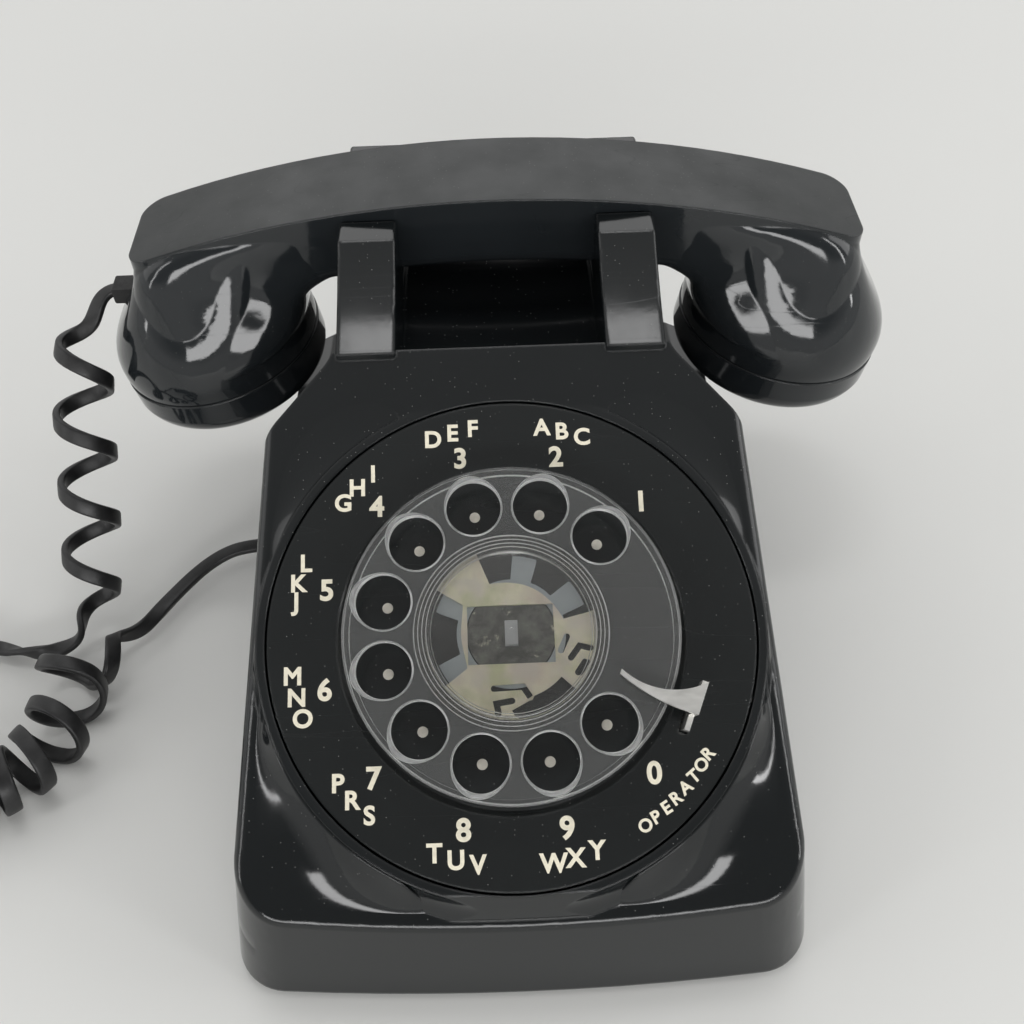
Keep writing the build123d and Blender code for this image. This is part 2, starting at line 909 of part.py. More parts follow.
with BuildPart() as governor_shaft:
    with BuildSketch(dial_at(bridge_bottom)):
        with Locations((0, pinion_v)):
            Circle(pinion_shaft_radius)
    extrude(amount=frame_top - bridge_bottom)
    with BuildSketch(dial_at(gear_bottom)):
        with Locations((0, pinion_v)):
            add(pinion_shape)
    extrude(amount=gear_thickness)
    with BuildSketch(dial_at(cam_bottom)):
        with Locations((0, pinion_v)):
            Ellipse(cam_radius, cam_radius / 2)
    extrude(amount=cam_thickness)
    with BuildSketch(dial_at(governor_bottom)):
        with Locations((0, pinion_v)):
            SlotOverall(2 * governor_radius, governor_radius)
    extrude(amount=governor_thickness)
governor_shaft.part.label = "governor_shaft"
export_step(governor_shaft.part, "parts/governor_shaft.step")

with BuildPart() as governor_cup:
    with BuildSketch(dial_at(bridge_top)):
        with Locations((0, pinion_v)):
            Circle(governor_outer)
            Circle(governor_outer - governor_wall, mode=Mode.SUBTRACT)
    extrude(amount=governor_gap + governor_thickness)
governor_cup.part.label = "governor_cup"
export_step(governor_cup.part, "parts/governor_cup.step")

with BuildPart() as return_spring:
    with BuildSketch(dial_at(bridge_top)):
        Circle(spring_barrel_radius)
        Circle(shaft_radius + spring_bore_gap, mode=Mode.SUBTRACT)
    extrude(amount=spring_barrel_height)
return_spring.part.label = "return_spring"
export_step(return_spring.part, "parts/return_spring.step")

with BuildPart() as pulse_contacts:
    leaf_u = cam_radius + leaf_gap
    block_v = pinion_v + leaf_reach
    with BuildSketch(dial_at(frame_bottom)):
        with Locations((leaf_u + contact_block / 2, block_v)):
            Rectangle(contact_block, contact_block)
    extrude(amount=cam_bottom - frame_bottom)
    with BuildSketch(dial_at(cam_bottom)):
        for leaf in (0, 1):
            leaf_middle = leaf_u + leaf_thickness / 2 + 3 * leaf * leaf_thickness
            with Locations((leaf_middle, block_v - leaf_reach / 2)):
                Rectangle(leaf_thickness, 2 * leaf_reach)
    extrude(amount=cam_thickness)
pulse_contacts.part.label = "pulse_contacts"
export_step(pulse_contacts.part, "parts/pulse_contacts.step")

with BuildPart() as dial_bracket:
    low_edge = dial_point(0, -frame_ear_width / 2, frame_bottom)
    high_edge = dial_point(0, frame_ear_width / 2, frame_bottom)
    for side in (-1, 1):
        with BuildSketch(Plane.YZ.offset(side * (frame_ear_reach - bracket_thickness / 2))):
            with BuildLine():
                Polyline(
                    (low_edge.Y, low_edge.Z),
                    (high_edge.Y, high_edge.Z),
                    (high_edge.Y + bracket_spread, base_top),
                    (low_edge.Y - bracket_spread, base_top),
                    close=True,
                )
            make_face()
        extrude(amount=bracket_thickness / 2, both=True)
dial_bracket.part.label = "dial_bracket"
export_step(dial_bracket.part, "parts/dial_bracket.step")


# Handset: an arched bar with a flat back, and two cups that flare to the screw caps
arch_centre = handset_top - back_radius
under_radius = back_radius - handset_thickness


def back_height(x):
    return arch_centre + math.sqrt(back_radius**2 - x**2)


def under_height(x):
    return arch_centre + math.sqrt(under_radius**2 - x**2)


cup_y = handset_y - cup_lead


def cup_plane(side):
    return Plane(
        origin=(side * cup_offset, cup_y, seam_height),
        x_dir=(cosd(cup_tilt), 0, -side * sind(cup_tilt)),
        z_dir=(side * sind(cup_tilt), 0, cosd(cup_tilt)),
    )


def cup_section(side):
    return Plane(
        origin=(side * cup_offset, cup_y, seam_height),
        x_dir=(cosd(cup_tilt), 0, -side * sind(cup_tilt)),
        z_dir=(0, -1, 0),
    )


def cup_axis(side):
    return Axis((side * cup_offset, cup_y, seam_height), (side * sind(cup_tilt), 0, cosd(cup_tilt)))


# Along each cup's axis: how far the back lies from the seam, and how wide the facets start
back_rise = seam_height - arch_centre
back_reach = cup_offset * sind(cup_tilt) + back_rise * cosd(cup_tilt)
back_distance = math.sqrt(back_reach**2 + back_radius**2 - cup_offset**2 - back_rise**2) - back_reach
facet_top = back_distance + facet_margin
facet_share = (back_distance - cup_collar) / (facet_top - cup_collar)
facet_width = (handset_width - 2 * cup_radius * (1 - facet_share)) / facet_share
axis_x = cup_offset + back_distance * sind(cup_tilt)
facet_outer_reach = (back_half_length - axis_x) / cosd(cup_tilt)
facet_inner_reach = (axis_x - facet_inner) / cosd(cup_tilt)
facet_length = facet_outer_reach + facet_inner_reach
facet_shift = (facet_outer_reach - facet_inner_reach) / 2
swell_length = swell_inner + swell_outer
swell_shift = (swell_outer - swell_inner) / 2
gland_z = seam_height + gland_rise
wall_foot_x = cup_offset + cup_collar * sind(cup_tilt) + cup_radius * cosd(cup_tilt)
wall_foot_z = seam_height + cup_collar * cosd(cup_tilt) - cup_radius * sind(cup_tilt)
wall_top_x = cup_offset + facet_top * sind(cup_tilt) + facet_outer_reach * cosd(cup_tilt)
wall_top_z = seam_height + facet_top * cosd(cup_tilt) - facet_outer_reach * sind(cup_tilt)
wall_lean = (wall_top_x - wall_foot_x) / (wall_top_z - wall_foot_z)
gland_face = wall_foot_x + (gland_z - wall_foot_z) * wall_lean


def bulge(share, power):
    return math.copysign(abs(share) ** (2 / power), share)


# A closed outline between a circle and a rectangle: the higher the power, the squarer it is
def cup_outline(plane, shift, half_length, half_width, power, across=0):
    points = []
    for k in range(outline_points):
        turn = 360 * k / outline_points
        length = shift + half_length * bulge(cosd(turn), power)
        points.append((length, across + half_width * bulge(sind(turn), power)))
    with BuildSketch(plane) as outline:
        with BuildLine():
            Spline(*points, periodic=True)
        make_face()
    return outline.sketch


# The elbow's sections turn round a line inside the arch, from the cup to the bar
def elbow_reach(angle):
    rise = elbow_z - arch_centre
    lean = elbow_x * cosd(angle) + rise * sind(angle)
    to_back = math.sqrt(lean**2 + back_radius**2 - elbow_x**2 - rise**2) - lean
    if angle > 45:
        return to_back - elbow_inset
    return min(to_back - elbow_inset, (elbow_outer - elbow_x) / cosd(angle))


def elbow_section(side, angle):
    plane = Plane(
        origin=(side * elbow_x, cup_y, elbow_z),
        x_dir=(cosd(angle), 0, side * sind(angle)),
        z_dir=(-side * sind(angle), 0, cosd(angle)),
    )
    inner = elbow_radius
    outer = elbow_reach(angle)
    flare = (1 - sind(angle)) ** 2
    half_width = handset_width / 2 - elbow_inset / 2 + (elbow_width - handset_width) / 2 * flare
    power = swell_power + (facet_power - swell_power) * sind(angle)
    across = cup_lead * sind(angle)
    return cup_outline(plane, side * (inner + outer) / 2, (outer - inner) / 2, half_width, power, across)


with BuildPart() as bar:
    with BuildSketch(Plane.XZ.offset(-handset_y)):
        with BuildLine():
            ThreePointArc(
                (-back_half_length, back_height(back_half_length)),
                (0, handset_top),
                (back_half_length, back_height(back_half_length)),
            )
            Line(
                (back_half_length, back_height(back_half_length)),
                (back_half_length, under_height(back_half_length)),
            )
            ThreePointArc(
                (back_half_length, under_height(back_half_length)),
                (0, handset_top - handset_thickness),
                (-back_half_length, under_height(back_half_length)),
            )
            Line(
                (-back_half_length, under_height(back_half_length)),
                (-back_half_length, back_height(back_half_length)),
            )
        make_face()
    extrude(amount=handset_width / 2, both=True)
    fillet(bar.edges().filter_by(Axis.Z), end_corner)
    long_edges = bar.edges().filter_by(GeomType.CIRCLE)
    under_edges = long_edges.filter_by(lambda edge: edge.length > handset_width)
    fillet(under_edges.sort_by(lambda edge: edge.center().Z)[:2], handle_edge_radius)

with BuildPart() as back_limit:
    with BuildSketch(Plane.XZ.offset(-handset_y)):
        with Locations((0, arch_centre)):
            Circle(back_radius)
    extrude(amount=2 * cup_radius, both=True)

with BuildPart() as handset_handle:
    add(bar.part)
    for side in (-1, 1):
        add(cup_outline(cup_plane(side), 0, cup_radius, cup_radius, 2))
        add(cup_outline(cup_plane(side).offset(cup_collar), 0, cup_radius, cup_radius, 2))
        swell = cup_plane(side).offset(swell_height)
        add(cup_outline(swell, side * swell_shift, swell_length / 2, swell_width / 2, swell_power))
        crown = cup_plane(side).offset(facet_top)
        add(cup_outline(crown, side * facet_shift, facet_length / 2, facet_width / 2, facet_power, cup_lead))
        loft()
        root = cup_plane(side).offset(cup_collar - elbow_inset)
        add(cup_outline(root, 0, cup_radius - elbow_inset, cup_radius - elbow_inset, 2))
        for step in range(elbow_steps + 1):
            add(elbow_section(side, 90 * step / elbow_steps))
        loft()
    add(back_limit.part, mode=Mode.INTERSECT)
    for side in (-1, 1):
        with BuildSketch(cup_plane(side)):
            Circle(cup_bore)
        extrude(amount=cup_depth, mode=Mode.SUBTRACT)
    with BuildSketch(Plane.YZ.offset(-gland_face)):
        with Locations((handset_y, gland_z)):
            Rectangle(gland_width, gland_height)
    extrude(amount=gland_seat, both=True, mode=Mode.SUBTRACT)
handset_handle.part.label = "handset_handle"
export_step(handset_handle.part, "parts/handset_handle.step")

with BuildPart() as handset_gland:
    with BuildSketch(Plane.YZ.offset(-gland_face)):
        with Locations((handset_y, gland_z)):
            Rectangle(gland_width, gland_height)
    extrude(amount=gland_seat)
    with BuildSketch(Plane.YZ.offset(-gland_face)):
        with Locations((handset_y, gland_z)):
            Rectangle(gland_width, gland_height)
    extrude(amount=-gland_reach)
    fillet(handset_gland.edges().group_by(Axis.X)[0], gland_height / 6)
handset_gland.part.label = "handset_gland"
export_step(handset_gland.part, "parts/handset_gland.step")


def screw_cap(side, rings):
    with BuildPart() as cap:
        with BuildSketch(cup_section(side)):
            with BuildLine():
                Line((cup_radius + cap_step, 0), (cup_radius + cap_step, -cap_height / 2))
                RadiusArc(
                    (cup_radius + cap_step, -cap_height / 2),
                    (cap_face_radius, -cap_height),
                    cap_height / 2 + cap_wall,
                )
                Polyline(
                    (cap_face_radius, -cap_height),
                    (0, cap_dish - cap_height),
                    (0, cap_dish + cap_wall - cap_height),
                    (cap_face_radius - cap_wall / 2, cap_wall - cap_height),
                    (cup_bore, -cap_height / 2),
                    (cup_bore, 0),
                    (cup_radius + cap_step, 0),
                )
            make_face()
        revolve(axis=cup_axis(side))
        with BuildSketch(cup_plane(side)):
            Circle(cap_hole_radius)
            for ring in range(1, rings + 1):
                with PolarLocations(ring * cap_hole_spacing, 6 * ring):
                    Circle(cap_hole_radius)
        extrude(amount=-2 * cap_height, mode=Mode.SUBTRACT)
    return cap.part


transmitter_cap = screw_cap(-1, 2)
transmitter_cap.label = "transmitter_cap"
export_step(transmitter_cap, "parts/transmitter_cap.step")
receiver_cap = screw_cap(1, 1)
receiver_cap.label = "receiver_cap"
export_step(receiver_cap, "parts/receiver_cap.step")

with BuildPart() as transmitter_cup:
    with BuildSketch(cup_plane(-1).offset(cup_depth)):
        Circle(capsule_radius + capsule_wall)
    extrude(amount=-cup_plate)
transmitter_cup.part.label = "transmitter_cup"
export_step(transmitter_cup.part, "parts/transmitter_cup.step")

with BuildPart() as transmitter_capsule:
    with BuildSketch(cup_plane(-1).offset(cup_depth - cup_plate)):
        Circle(capsule_radius)
    extrude(amount=-transmitter_height)
transmitter_capsule.part.label = "transmitter_capsule"
export_step(transmitter_capsule.part, "parts/transmitter_capsule.step")

with BuildPart() as receiver_capsule:
    with BuildSketch(cup_plane(1).offset(cup_depth)):
        Circle(capsule_radius)
    extrude(amount=-receiver_height)
receiver_capsule.part.label = "receiver_capsule"
export_step(receiver_capsule.part, "parts/receiver_capsule.step")

# Hook switch: two plungers under the handset press a lever on its bracket
plunger_top = under_height(plunger_offset + plunger_radius) - lift_rest_gap
plunger_bottom = plunger_top - plunger_length
lever_top = plunger_bottom - lever_gap
pivot_y = handset_y - lever_reach
pivot_z = lever_top - lever_thickness / 2
saddle_bottom = trough_height - wall


def hook_plunger(side):
    with BuildPart() as rod:
        with BuildSketch(Plane.XY.offset(plunger_bottom)):
            with Locations((side * plunger_offset, handset_y)):
                Circle(plunger_radius)
        extrude(amount=plunger_length)
        fillet(rod.edges().group_by(Axis.Z)[-1], plunger_radius / 4)
        with BuildSketch(Plane.XY.offset(saddle_bottom - plunger_travel - lift_rest_gap)):
            with Locations((side * plunger_offset, handset_y)):
                Circle(plunger_flange)
        extrude(amount=-lever_thickness)
    return rod.part


for side, name in ((-1, "plunger_left"), (1, "plunger_right")):
    plunger = hook_plunger(side)
    plunger.label = name
    export_step(plunger, f"parts/{name}.step")

with BuildPart() as hook_lever:
    with BuildSketch(Plane.XY.offset(lever_top)):
        for side in (-1, 1):
            with Locations((side * plunger_offset, handset_y - lever_reach / 2)):
                Rectangle(lever_width, lever_reach + 2 * pivot_radius)
        with Locations((0, pivot_y)):
            Rectangle(2 * plunger_offset, 4 * pivot_radius)
    extrude(amount=-lever_thickness)
    with BuildSketch(Plane.YZ.offset(-plunger_offset)):
        with Locations((pivot_y, pivot_z)):
            Circle(pivot_radius)
    extrude(amount=2 * plunger_offset)
    with BuildSketch(Plane.XY.offset(lever_top)):
        for side in (-1, 1):
            with Locations((side * hook_bracket_width / 2, pivot_y)):
                Rectangle(3 * bracket_thickness, 5 * pivot_radius)
    extrude(amount=-lever_thickness, mode=Mode.SUBTRACT)
    with BuildSketch(Plane.YZ.offset(-plunger_offset)):
        with Locations((pivot_y, pivot_z)):
            Circle(pivot_radius)
    extrude(amount=2 * plunger_offset)
hook_lever.part.label = "hook_lever"
export_step(hook_lever.part, "parts/hook_lever.step")

with BuildPart() as hook_bracket:
    for side in (-1, 1):
        with BuildSketch(Plane.YZ.offset(side * hook_bracket_width / 2)):
            with Locations((pivot_y, (base_top + pivot_z + hook_ear) / 2)):
                Rectangle(2 * hook_ear, pivot_z + hook_ear - base_top)
            with Locations((pivot_y, pivot_z)):
                Circle(pivot_radius + running_fit, mode=Mode.SUBTRACT)
        extrude(amount=bracket_thickness / 2, both=True)
    with BuildSketch(Plane.XY.offset(base_top)):
        with Locations((0, pivot_y - hook_ear)):
            Rectangle(hook_bracket_width + bracket_thickness, bracket_thickness)
    extrude(amount=pivot_z - base_top - 3 * hook_ear)
hook_bracket.part.label = "hook_bracket"
export_step(hook_bracket.part, "parts/hook_bracket.step")

with BuildPart() as hook_contacts:
    pile_z = pivot_z - 3 * hook_ear - contact_block
    with BuildSketch(Plane.XY.offset(pile_z)):
        with Locations((0, pivot_y - hook_ear - bracket_thickness / 2 - contact_block / 2)):
            Rectangle(2 * contact_block, contact_block)
    extrude(amount=contact_block)
    with BuildSketch(Plane.XY.offset(pile_z + contact_block)):
        with Locations((0, pivot_y - hook_ear - bracket_thickness / 2 - contact_block / 2)):
            with GridLocations(0, 5 * leaf_thickness, 1, 3):
                Rectangle(contact_block, leaf_thickness)
    extrude(amount=2 * contact_block)
hook_contacts.part.label = "hook_contacts"
export_step(hook_contacts.part, "parts/hook_contacts.step")

# Ringer: two gongs on stems, a coil and a clapper on a common frame
gong_places = [(gong_x - gong_spacing / 2, gong_y), (gong_x + gong_spacing / 2, gong_y)]
clapper_y = gong_y - clapper_arm
clapper_z = gong_bottom + gong_wall
boss_top = clapper_z - clapper_ball - clapper_gap
frame_deck = base_top + base_thickness
gong_top = gong_bottom + gong_height

with BuildPart() as ringer_frame:
    with BuildSketch(Plane.XY.offset(base_top)):
        with Locations((gong_x, gong_y)):
            Rectangle(gong_spacing + 4 * stem_radius, 4 * stem_radius)
        with Locations((gong_x, (gong_y + coil_y) / 2)):
            Rectangle(2 * coil_radius, gong_y - coil_y + 2 * coil_radius)
    extrude(amount=base_thickness)
    with BuildSketch(Plane.XY.offset(frame_deck)):
        with Locations(*gong_places):
            Circle(2 * stem_radius)
    extrude(amount=gong_top - gong_wall - frame_deck)
    with BuildSketch(Plane.XY.offset(frame_deck)):
        with Locations(*gong_places):
            Circle(stem_radius)
    extrude(amount=gong_top + stem_radius - frame_deck)
    with BuildSketch(Plane.XY.offset(frame_deck)):
        with Locations((gong_x, clapper_y)):
            Circle(2 * stem_radius)
            Circle(clapper_pin + running_fit, mode=Mode.SUBTRACT)
    extrude(amount=boss_top - frame_deck)
ringer_frame.part.label = "ringer_frame"
export_step(ringer_frame.part, "parts/ringer_frame.step")


def gong(place):
    section = Plane(origin=(*place, gong_bottom), x_dir=(1, 0, 0), z_dir=(0, -1, 0))
    knee = gong_radius - gong_round
    with BuildPart() as bell:
        with BuildSketch(section):
            with BuildLine():
                Line((gong_radius, 0), (gong_radius, gong_height - gong_round))
                RadiusArc((gong_radius, gong_height - gong_round), (knee, gong_height), -gong_round)
                Polyline(
                    (knee, gong_height),
                    (stem_radius, gong_height),
                    (stem_radius, gong_height - gong_wall),
                    (knee, gong_height - gong_wall),
                )
                RadiusArc(
                    (knee, gong_height - gong_wall),
                    (gong_radius - gong_wall, gong_height - gong_round),
                    gong_round - gong_wall,
                )
                Polyline(
                    (gong_radius - gong_wall, gong_height - gong_round),
                    (gong_radius - gong_wall, 0),
                    (gong_radius, 0),
                )
            make_face()
        revolve(axis=Axis((*place, 0), (0, 0, 1)))
    return bell.part


for place, name in zip(gong_places, ("gong_low", "gong_high")):
    bell = gong(place)
    bell.label = name
    export_step(bell, f"parts/{name}.step")

with BuildPart() as ringer_coil:
    with BuildSketch(Plane.XY.offset(frame_deck)):
        with Locations((gong_x, coil_y)):
            Circle(coil_radius)
    extrude(amount=coil_length)
    with BuildSketch(Plane.XY.offset(frame_deck + coil_cheek)):
        with Locations((gong_x, coil_y)):
            Circle(coil_radius)
            Circle(coil_radius - coil_cheek, mode=Mode.SUBTRACT)
    extrude(amount=coil_length - 2 * coil_cheek, mode=Mode.SUBTRACT)
ringer_coil.part.label = "ringer_coil"
export_step(ringer_coil.part, "parts/ringer_coil.step")

with BuildPart() as clapper:
    with BuildSketch(Plane.XY.offset(frame_deck + clapper_gap)):
        with Locations((gong_x, clapper_y)):
            Circle(clapper_pin)
    extrude(amount=clapper_z + clapper_ball - frame_deck - clapper_gap)
    with BuildSketch(Plane.XY.offset(boss_top + clapper_gap)):
        with Locations((gong_x, clapper_y)):
            Circle(2 * stem_radius)
    extrude(amount=2 * clapper_ball)
    with BuildSketch(Plane.XZ.offset(-clapper_y)):
        with Locations((gong_x, clapper_z)):
            Rectangle(clapper_pin, clapper_pin)
    extrude(amount=-clapper_arm)
    with Locations((gong_x, gong_y, clapper_z)):
        Sphere(clapper_ball)
clapper.part.label = "clapper"
export_step(clapper.part, "parts/clapper.step")

loudness_z = loudness_drop + loudness_radius

with BuildPart() as loudness_wheel:
    with BuildSketch(Plane.XZ.offset(-loudness_y)):
        with Locations((loudness_x, loudness_z)):
            Circle(loudness_radius)
            with PolarLocations(loudness_radius, loudness_notches):
                Circle(loudness_notch, mode=Mode.SUBTRACT)
    extrude(amount=loudness_thickness / 2, both=True)
    with BuildSketch(Plane.XZ.offset(-loudness_y)):
        with Locations((loudness_x, loudness_z)):
            Circle(clapper_pin)
    extrude(amount=loudness_thickness / 2 + 2 * bracket_thickness, both=True)
loudness_wheel.part.label = "loudness_wheel"
export_step(loudness_wheel.part, "parts/loudness_wheel.step")

with BuildPart() as loudness_bracket:
    for side in (-1, 1):
        ear_y = loudness_y + side * (loudness_thickness / 2 + 1.5 * bracket_thickness)
        with BuildSketch(Plane.XZ.offset(-ear_y)):
            with Locations((loudness_x, (base_top + loudness_z + 2 * clapper_pin) / 2)):
                Rectangle(6 * clapper_pin, loudness_z + 2 * clapper_pin - base_top)
            with Locations((loudness_x, loudness_z)):
                Circle(clapper_pin + running_fit, mode=Mode.SUBTRACT)
        extrude(amount=bracket_thickness / 2, both=True)
loudness_bracket.part.label = "loudness_bracket"
export_step(loudness_bracket.part, "parts/loudness_bracket.step")

with BuildPart() as network_block:
    with BuildSketch(Plane.XY.offset(base_top)):
        with Locations((network_x, network_y)):
            RectangleRounded(network_width, network_length, network_corner)
    extrude(amount=network_height)
network_block.part.label = "network_block"
export_step(network_block.part, "parts/network_block.step")

with BuildPart() as terminal_screws:
    with BuildSketch(Plane.XY.offset(base_top + network_height)):
        with Locations((network_x, network_y)):
            with GridLocations(network_width / 2, network_length / terminal_rows, 2, terminal_rows):
                RegularPolygon(terminal_radius, 6)
    extrude(amount=terminal_height)
terminal_screws.part.label = "terminal_screws"
export_step(terminal_screws.part, "parts/terminal_screws.step")

# Curly cord: a flat strip wound in curls, hanging from the handset and lying on the table


def meeting(start, heading, end, arrival):
    span = end - start
    total = heading + arrival
    share = 2 * (1 - heading.dot(arrival))
    along = span.dot(total)
    reach = (math.sqrt(along**2 + share * span.dot(span)) - along) / share
    first = start + heading * reach
    last = end - arrival * reach
    return (first + last) * 0.5, (last - first).normalized()


def arc_chain(places, headings):
    with BuildLine() as chain:
        for leg in range(len(places) - 1):
            joint, turn = meeting(places[leg], headings[leg], places[leg + 1], headings[leg + 1])
            TangentArc(places[leg], joint, tangent=headings[leg])
            TangentArc(joint, places[leg + 1], tangent=turn)
    return chain.wires()[0]


def swept_strip(path, guide):
    start = path @ 0
    heading = path % 0
    inward = (guide @ 0) - start
    inward = inward - heading * inward.dot(heading)
    with BuildPart() as strip:
        with BuildSketch(Plane(origin=start, x_dir=inward, z_dir=heading)):
            Rectangle(cord_thickness, cord_width)
        sweep(path=path, binormal=guide)
    return strip.part


def heading_of(curve, angle):
    return (curve(angle + 0.5) - curve(angle - 0.5)).normalized()


drop_top = Vector(drop_top_x, handset_y - drop_lead, drop_top_z)
drop_foot = Vector(drop_foot_x, drop_foot_y, drop_foot_z)
drop_way = (drop_foot - drop_top).normalized()
drop_back = (Vector(0, 1, 0) - drop_way * drop_way.Y).normalized()
drop_left = drop_back.cross(drop_way)
drop_end = drop_last_angle + 360 * drop_curls
drop_pitch = (drop_foot - drop_top).length * 360 / (drop_end - drop_first_angle)


def drop_axis(angle):
    return drop_top + drop_way * (drop_pitch * (angle - drop_first_angle) / 360)


def drop_curl(angle):
    return drop_axis(angle) + (drop_back * cosd(angle) + drop_left * sind(angle)) * curl_radius


def coil_heading(angle):
    return coil_start_heading + coil_spacing * angle / 360 / math.radians(1) / coil_bend


def coil_axis(angle):
    way = coil_heading(angle)
    return Vector(coil_centre_x + coil_bend * sind(way), coil_centre_y - coil_bend * cosd(way), coil_z)


def coil_curl(angle):
    way = coil_heading(angle)
    right = Vector(sind(way), -cosd(way), 0)
    return coil_axis(angle) + (Vector(0, 0, -cosd(angle)) + right * sind(angle)) * curl_radius


def least_gap(curve, first, last):
    steps = int(last - 360 - first) // 15
    starts = [first + 15 * k for k in range(steps)]
    return min((curve(angle + 360) - curve(angle)).length for angle in starts) - cord_width


coil_z = curl_radius + cord_thickness / 2 + table_gap
coil_end = 360 * coil_curls
gland_mouth = Vector(-gland_face - gland_reach, handset_y, gland_z)
lead_end = gland_mouth - Vector(cord_width, 0, 0)
drop_step = (drop_end - drop_first_angle) / (2 * drop_curls)
drop_angles = [drop_first_angle + k * drop_step for k in range(2 * drop_curls + 1)]
coil_angles = [180 * k for k in range(2 * coil_curls + 1)]

drop_wound = arc_chain([drop_curl(a) for a in drop_angles], [heading_of(drop_curl, a) for a in drop_angles])
with BuildLine() as drop_path:
    Line(gland_mouth, lead_end)
    lead_headings = [Vector(-1, 0, 0), heading_of(drop_curl, drop_first_angle)]
    add(arc_chain([lead_end, drop_curl(drop_first_angle)], lead_headings))
    add(drop_wound)
drop_wire = drop_path.wires()[0]
drop_share = (drop_foot - drop_top).length / drop_wound.length
lead_share = (drop_wire.length - drop_wound.length) * drop_share
lead_shift = gland_mouth.X - drop_top.X
lead_rise = math.sqrt(lead_share**2 - lead_shift**2) / math.hypot(drop_way.Y, drop_way.Z)
guide_start = drop_top + Vector(lead_shift, -drop_way.Y * lead_rise, -drop_way.Z * lead_rise)
drop_guide = Wire([Edge.make_line(guide_start, drop_top), Edge.make_line(drop_top, drop_foot)])
cord_drop = swept_strip(drop_wire, drop_guide)
cord_drop.label = "cord_drop"
export_step(cord_drop, "parts/cord_drop.step")

coil_wire = arc_chain([coil_curl(a) for a in coil_angles], [heading_of(coil_curl, a) for a in coil_angles])
coil_guide = Wire([Edge.make_three_point_arc(coil_axis(0), coil_axis(coil_end / 2), coil_axis(coil_end))])
cord_coil = swept_strip(coil_wire, coil_guide)
cord_coil.label = "cord_coil"
export_step(cord_coil, "parts/cord_coil.step")

# A strand on the table joins the two, turning from its edge onto its face
strand_start = drop_curl(drop_end)
strand_end = coil_curl(0)
strand_headings = [heading_of(drop_curl, drop_end), heading_of(coil_curl, 0)]
strand_wire = arc_chain([strand_start, strand_end], strand_headings)
strand_guide = Wire([Edge.make_line(drop_axis(drop_end), coil_axis(0))])
cord_strand = swept_strip(strand_wire, strand_guide)
cord_strand.label = "cord_strand"
export_step(cord_strand, "parts/cord_strand.step")

# The tail runs from the coil to the inlet in the housing's left wall
tail_start = coil_curl(coil_end)
tail_heading = heading_of(coil_curl, coil_end)
tail_first = tail_start + tail_heading * tail_run
tail_corners = [
    tail_start,
    (tail_first.X, tail_first.Y, tail_start.Z),
    *tail_turns,
    (tail_last_x, tail_y, tail_height),
    (-grommet_face, tail_y, tail_height),
]
tail_points = [Vector(corner) for corner in tail_corners]
tail_runs = [end - start for start, end in zip(tail_points, tail_points[1:])]
tail_radii = [
    0.45 * min(one.length, two.length) / tand(one.get_angle(two) / 2)
    for one, two in zip(tail_runs, tail_runs[1:])
]
with BuildPart() as cord_tail:
    with BuildLine() as tail_path:
        FilletPolyline(*tail_points, radius=tail_radii)
    tail_wire = tail_path.wires()[0]
    with BuildSketch(Plane(origin=tail_wire @ 0, x_dir=(0, 0, 1), z_dir=tail_wire % 0)):
        Rectangle(cord_thickness, cord_width)
    sweep(path=tail_wire)
cord_tail.part.label = "cord_tail"
export_step(cord_tail.part, "parts/cord_tail.step")

with BuildPart() as cord_grommet:
    with BuildSketch(Plane.YZ.offset(-grommet_face)):
        with Locations((tail_y, tail_height)):
            Rectangle(gland_width, gland_height)
    extrude(amount=grommet_length)
    fillet(cord_grommet.edges().group_by(Axis.X)[0], gland_height / 6)
cord_grommet.part.label = "cord_grommet"
export_step(cord_grommet.part, "parts/cord_grommet.step")

section_area = cord_thickness * cord_width
for name, strip, wire in (
    ("cord_drop", cord_drop, drop_wire),
    ("cord_coil", cord_coil, coil_wire),
    ("cord_strand", cord_strand, strand_wire),
    ("cord_tail", cord_tail.part, tail_wire),
):
    print(name, strip.is_valid, len(strip.solids()), round(strip.volume / (section_area * wire.length), 4))
print("gap drop", round(least_gap(drop_curl, drop_first_angle, drop_end), 2))
print("gap coil", round(least_gap(coil_curl, 0, coil_end), 2))
print("tail radii", [round(radius, 1) for radius in tail_radii])
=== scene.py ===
import json
import math

import bmesh
import bpy
import numpy as np
from mathutils import Matrix


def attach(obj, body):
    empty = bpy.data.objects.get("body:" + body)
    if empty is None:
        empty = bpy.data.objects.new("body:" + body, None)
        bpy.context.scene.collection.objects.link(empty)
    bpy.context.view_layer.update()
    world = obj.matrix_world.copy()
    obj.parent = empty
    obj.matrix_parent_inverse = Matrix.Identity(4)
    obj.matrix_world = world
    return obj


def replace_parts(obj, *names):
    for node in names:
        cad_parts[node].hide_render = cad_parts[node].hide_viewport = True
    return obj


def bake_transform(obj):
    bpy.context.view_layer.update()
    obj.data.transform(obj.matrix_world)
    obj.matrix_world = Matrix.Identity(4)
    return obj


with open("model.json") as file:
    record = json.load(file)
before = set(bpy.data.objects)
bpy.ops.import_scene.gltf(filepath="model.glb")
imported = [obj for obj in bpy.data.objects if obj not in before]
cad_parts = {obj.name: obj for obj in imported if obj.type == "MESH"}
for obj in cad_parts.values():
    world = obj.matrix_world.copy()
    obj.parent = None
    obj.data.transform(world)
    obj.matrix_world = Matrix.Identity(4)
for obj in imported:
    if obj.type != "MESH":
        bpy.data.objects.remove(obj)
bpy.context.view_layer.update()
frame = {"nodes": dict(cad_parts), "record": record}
nodes = frame["nodes"]
print("frame loaded:", len(nodes), "nodes")


